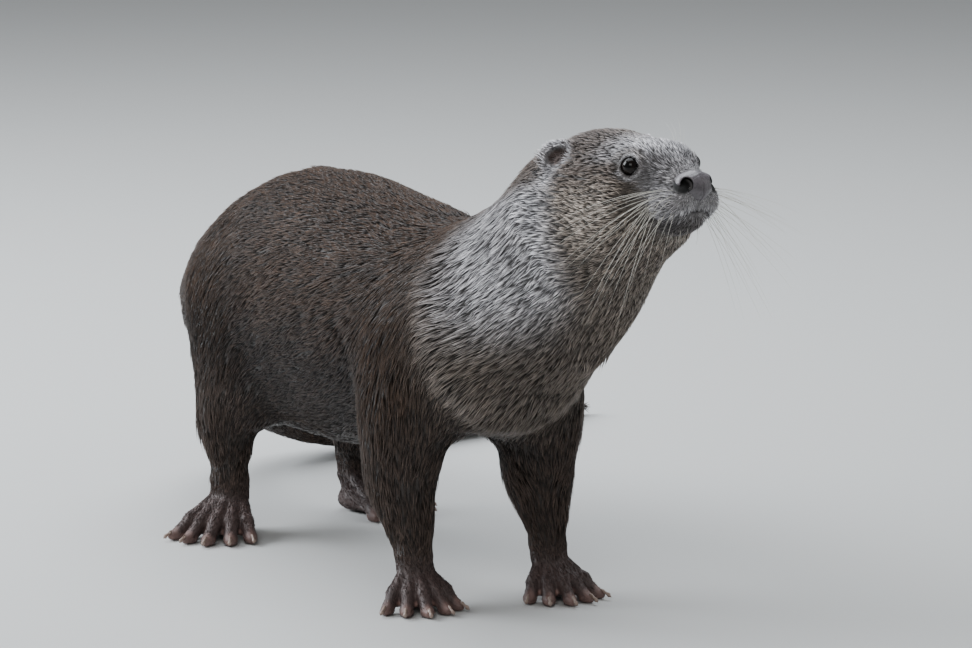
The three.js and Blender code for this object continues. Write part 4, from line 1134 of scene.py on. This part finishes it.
def nose_mesh():
    pitch = 0.35
    first = np.array([16, -16, -30]) / pitch
    size = (np.array([42, 16, 1]) / pitch - first).astype(int)
    x, y, z = (
        ((first[i] + np.arange(size[i])) * pitch).reshape([-1 if a == i else 1 for a in range(3)]) for i in range(3)
    )
    side = np.abs(y)
    value = ellipsoid(x, y, z, (28.5, 0, -12.5), (9, 11, 7.5), 24)
    value = blend(value, ellipsoid(x, side, z, (28, 8.2, -14), (8.2, 6, 6.6)), 3)
    value = blend(value, ellipsoid(x, y, z, (32, 0, -18), (5.5, 8.5, 6.5)), 3) + 0.1
    hollow = ellipsoid(x, side, z, (33.0, 9.8, -13.8), (7.5, 3.8, 4.2), 0, 42)
    slit = ellipsoid(x, side, z, (29.5, 12.2, -15.6), (5.5, 3.6, 0.9), -14, 50)
    cut = blend(hollow, slit, 1.4)
    value = -blend(-value, cut, 1.2)
    crease = np.sqrt(y * y + np.maximum(np.abs(z + 17.5) - 6.5, 0) ** 2) - 0.35
    value = -blend(-value, np.maximum(crease, -(value + 0.8)), 0.8)
    grid = vdb.FloatGrid(3 * pitch)
    grid.copyFromArray(np.clip(value, -3 * pitch, 3 * pitch).astype(np.float32), tolerance=1e-5)
    points, quads = grid.convertToQuads(isovalue=0)
    points = (points + first) * pitch
    px, py, pz = points.T
    inside = ellipsoid(px, np.abs(py), pz, (33.0, 9.8, -13.8), (7.5, 3.8, 4.2), 0, 42)
    triangles = np.concatenate([quads[:, [0, 1, 2]], quads[:, [0, 2, 3]]])
    mesh = mesh_of(from_head(points), triangles)
    # Painted light and shade on the nose pad: near black inside the nostrils for their shade, and lighter on the top
    # than underneath as if lit from above.
    nose_light_and_shade = mix(0.03, 1.0, ramp(inside, 0.0, 0.9)) * mix(0.7, 1.25, ramp(pz, -17, -8))
    paint(mesh, nose_light_and_shade[:, None] * np.ones(3))
    bm = bmesh.new()
    bm.from_mesh(mesh)
    bmesh.ops.recalc_face_normals(bm, faces=bm.faces)
    bm.to_mesh(mesh)
    bm.free()
    return mesh


add(nose_mesh(), "nose_pad", NOSE, ["nose"])

# ---------------------------------------------------------------- claws

claw_nodes = [n for n in sorted(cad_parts) if n.startswith("claw")]
bm = bmesh.new()
for name in claw_nodes:
    bm.from_mesh(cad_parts[name].data)
bmesh.ops.remove_doubles(bm, verts=bm.verts, dist=2e-5)
bmesh.ops.subdivide_edges(bm, edges=bm.edges, cuts=1, smooth=0.6, use_grid_fill=True)
claws = bpy.data.meshes.new("claws")
bm.to_mesh(claws)
bm.free()
add(claws, "claws", HORN, claw_nodes)

# ---------------------------------------------------------------- whiskers


def hair_tube(root, start, sag, length, radius, steps=9, sides=5):
    """A tapered bristle from root, leaving along start and bending by sag."""
    share = np.linspace(0, 1, steps)
    start = unit(start)
    line = root + start * (share * length)[:, None] + np.asarray(sag) * (share**2 * length)[:, None]
    tangent = unit(np.gradient(line, axis=0))
    side = unit(np.cross(tangent, [0.3, 0.2, 0.93]))
    up = np.cross(side, tangent)
    angle = np.arange(sides) * 2 * math.pi / sides
    width = radius * (1 - share * 0.93)
    ring = side[:, None] * np.cos(angle)[None, :, None] + up[:, None] * np.sin(angle)[None, :, None]
    points = (line[:, None] + ring * width[:, None, None]).reshape(-1, 3)
    triangles = []
    for i in range(steps - 1):
        for k in range(sides):
            a, b = i * sides + k, i * sides + (k + 1) % sides
            triangles += [(a, b, b + sides), (a, b + sides, a + sides)]
    last = (steps - 1) * sides
    for k in range(1, sides - 1):
        triangles += [(0, k + 1, k), (last, last + k, last + k + 1)]
    return points, np.array(triangles)


def nearest_skin(point):
    return skin.points[np.argmin(np.sum((skin.points - point) ** 2, axis=1))]


def whiskers():
    parts = []
    for side in (1, -1):
        for level in range(5):
            for place in range(6):
                x = 27 - place * 3.8 - level * 0.6 + rng.normal(0, 0.5)
                root = nearest_skin(from_head([x, side * (15 + place * 1.5), -17.5 - level * 3.0 + rng.normal(0, 0.5)]))
                long = min((36 + 8 * place) * rng.uniform(0.75, 1.15), 74)
                turn = (level + rng.uniform(-0.5, 0.5)) / 4  # from level to hanging
                if side > 0:  # the left ones sweep forwards, the right ones back
                    out = mix(np.array([0.62, 0.78, -0.22]), np.array([0.22, 0.5, -0.9]), turn)
                else:
                    out = mix(np.array([-0.62, -0.72, -0.12]), np.array([0.0, -0.45, -0.9]), turn)
                out = out + rng.normal(0, 0.08, 3)
                sag = HEAD @ np.array([-0.08, 0.0, -0.3]) * rng.uniform(0.5, 1.25)
                parts.append(hair_tube(root, HEAD @ out, sag, long, 0.11 + 0.0009 * long))
        for k in range(4):
            root = nearest_skin(from_head([3 - 2.6 * k, side * 15.5, 12]))
            out, sag = HEAD @ np.array([0.1 - 0.2 * k, side * 0.35, 0.9]), HEAD @ np.array([-0.5, side * 0.1, -0.1])
            parts.append(hair_tube(root, out, sag, rng.uniform(16, 27), 0.13))
        for k in range(9):
            root = nearest_skin(from_head([27 - 4 * k + rng.normal(0, 1), side * rng.uniform(2, 10), -43]))
            out, sag = HEAD @ np.array([0.1, side * 0.2, -1]), HEAD @ np.array([-0.5, 0, 0.1])
            parts.append(hair_tube(root, out, sag, rng.uniform(6, 13), 0.11))
    points, triangles, count = [], [], 0
    for co, tri in parts:
        points.append(co)
        triangles.append(tri + count)
        count += len(co)
    return mesh_of(np.concatenate(points), np.concatenate(triangles))


add(whiskers(), "whiskers", WHISKER)

# ---------------------------------------------------------------- floor, light and camera


def floor():
    bm = bmesh.new()
    bmesh.ops.create_grid(bm, x_segments=2, y_segments=2, size=6)
    mesh = bpy.data.meshes.new("floor")
    bm.to_mesh(mesh)
    bm.free()
    material, tree, shader = node_material("floor")
    shader.inputs["Base Color"].default_value = (0.62, 0.62, 0.61, 1)
    shader.inputs["Roughness"].default_value = 0.75
    mesh.materials.append(material)
    obj = bpy.data.objects.new("floor", mesh)
    bpy.context.scene.collection.objects.link(obj)
    obj.location.z = -0.0004


floor()


def softbox(name, place, target, size, power, colour):
    data = bpy.data.lights.new(name, "AREA")
    data.shape = "RECTANGLE"
    data.size, data.size_y = size
    data.energy = power
    data.color = colour
    obj = bpy.data.objects.new(name, data)
    obj.location = place
    obj.rotation_euler = (Vector(target) - Vector(place)).to_track_quat("-Z", "Y").to_euler()
    bpy.context.scene.collection.objects.link(obj)


softbox("overhead", (-0.7, 0.1, 1.9), (-0.05, 0, 0.2), (2.2, 2.2), 54, (0.90, 0.95, 1.0))
softbox("rim", (-1.5, -1.9, 1.5), (-0.05, -0.05, 0.2), (1.8, 1.5), 104, (0.90, 0.95, 1.0))
softbox("key", (2.2, -1.6, 1.9), (0.1, 0, 0.2), (1.6, 1.2), 22, (1.0, 0.985, 0.96))
softbox("fill", (1.2, 2.0, 0.9), (0.1, 0, 0.15), (1.6, 1.2), 5, (0.97, 1.0, 0.96))
world = bpy.data.worlds.new("studio")
world.use_nodes = True
world.node_tree.nodes["Background"].inputs["Color"].default_value = (0.80, 0.83, 0.86, 1)
world.node_tree.nodes["Background"].inputs["Strength"].default_value = 0.25
bpy.context.scene.world = world

# The photograph's viewing angle: its distance, its scale at the eyes and where the eyes fall in it.
PHOTO_AZ, PHOTO_EL = math.radians(28), math.radians(10)
DISTANCE = 3500.0
SCALE = 1.6  # picture elements per millimetre at the eyes
EYES_AT = (661 - 486, 324 - 165)
away = np.array([math.cos(PHOTO_AZ) * math.cos(PHOTO_EL), -math.sin(PHOTO_AZ) * math.cos(PHOTO_EL), math.sin(PHOTO_EL)])
right = np.array([math.sin(PHOTO_AZ), math.cos(PHOTO_AZ), 0])
above = np.cross(away, right)
above = above if above[2] > 0 else -above
between = (EYES["left"] + EYES["right"]) / 2
stand = between + away * DISTANCE - right * EYES_AT[0] / SCALE - above * EYES_AT[1] / SCALE
data = bpy.data.cameras.new("camera")
data.sensor_width = 36
data.lens = 36 * SCALE * DISTANCE / 972
data.clip_start, data.clip_end = 0.1, 50
camera = bpy.data.objects.new("camera", data)
turn = Matrix((right, above, away)).transposed().to_4x4()
camera.matrix_world = Matrix.Translation(Vector(row(stand))) @ turn
bpy.context.scene.collection.objects.link(camera)
bpy.context.scene.camera = camera
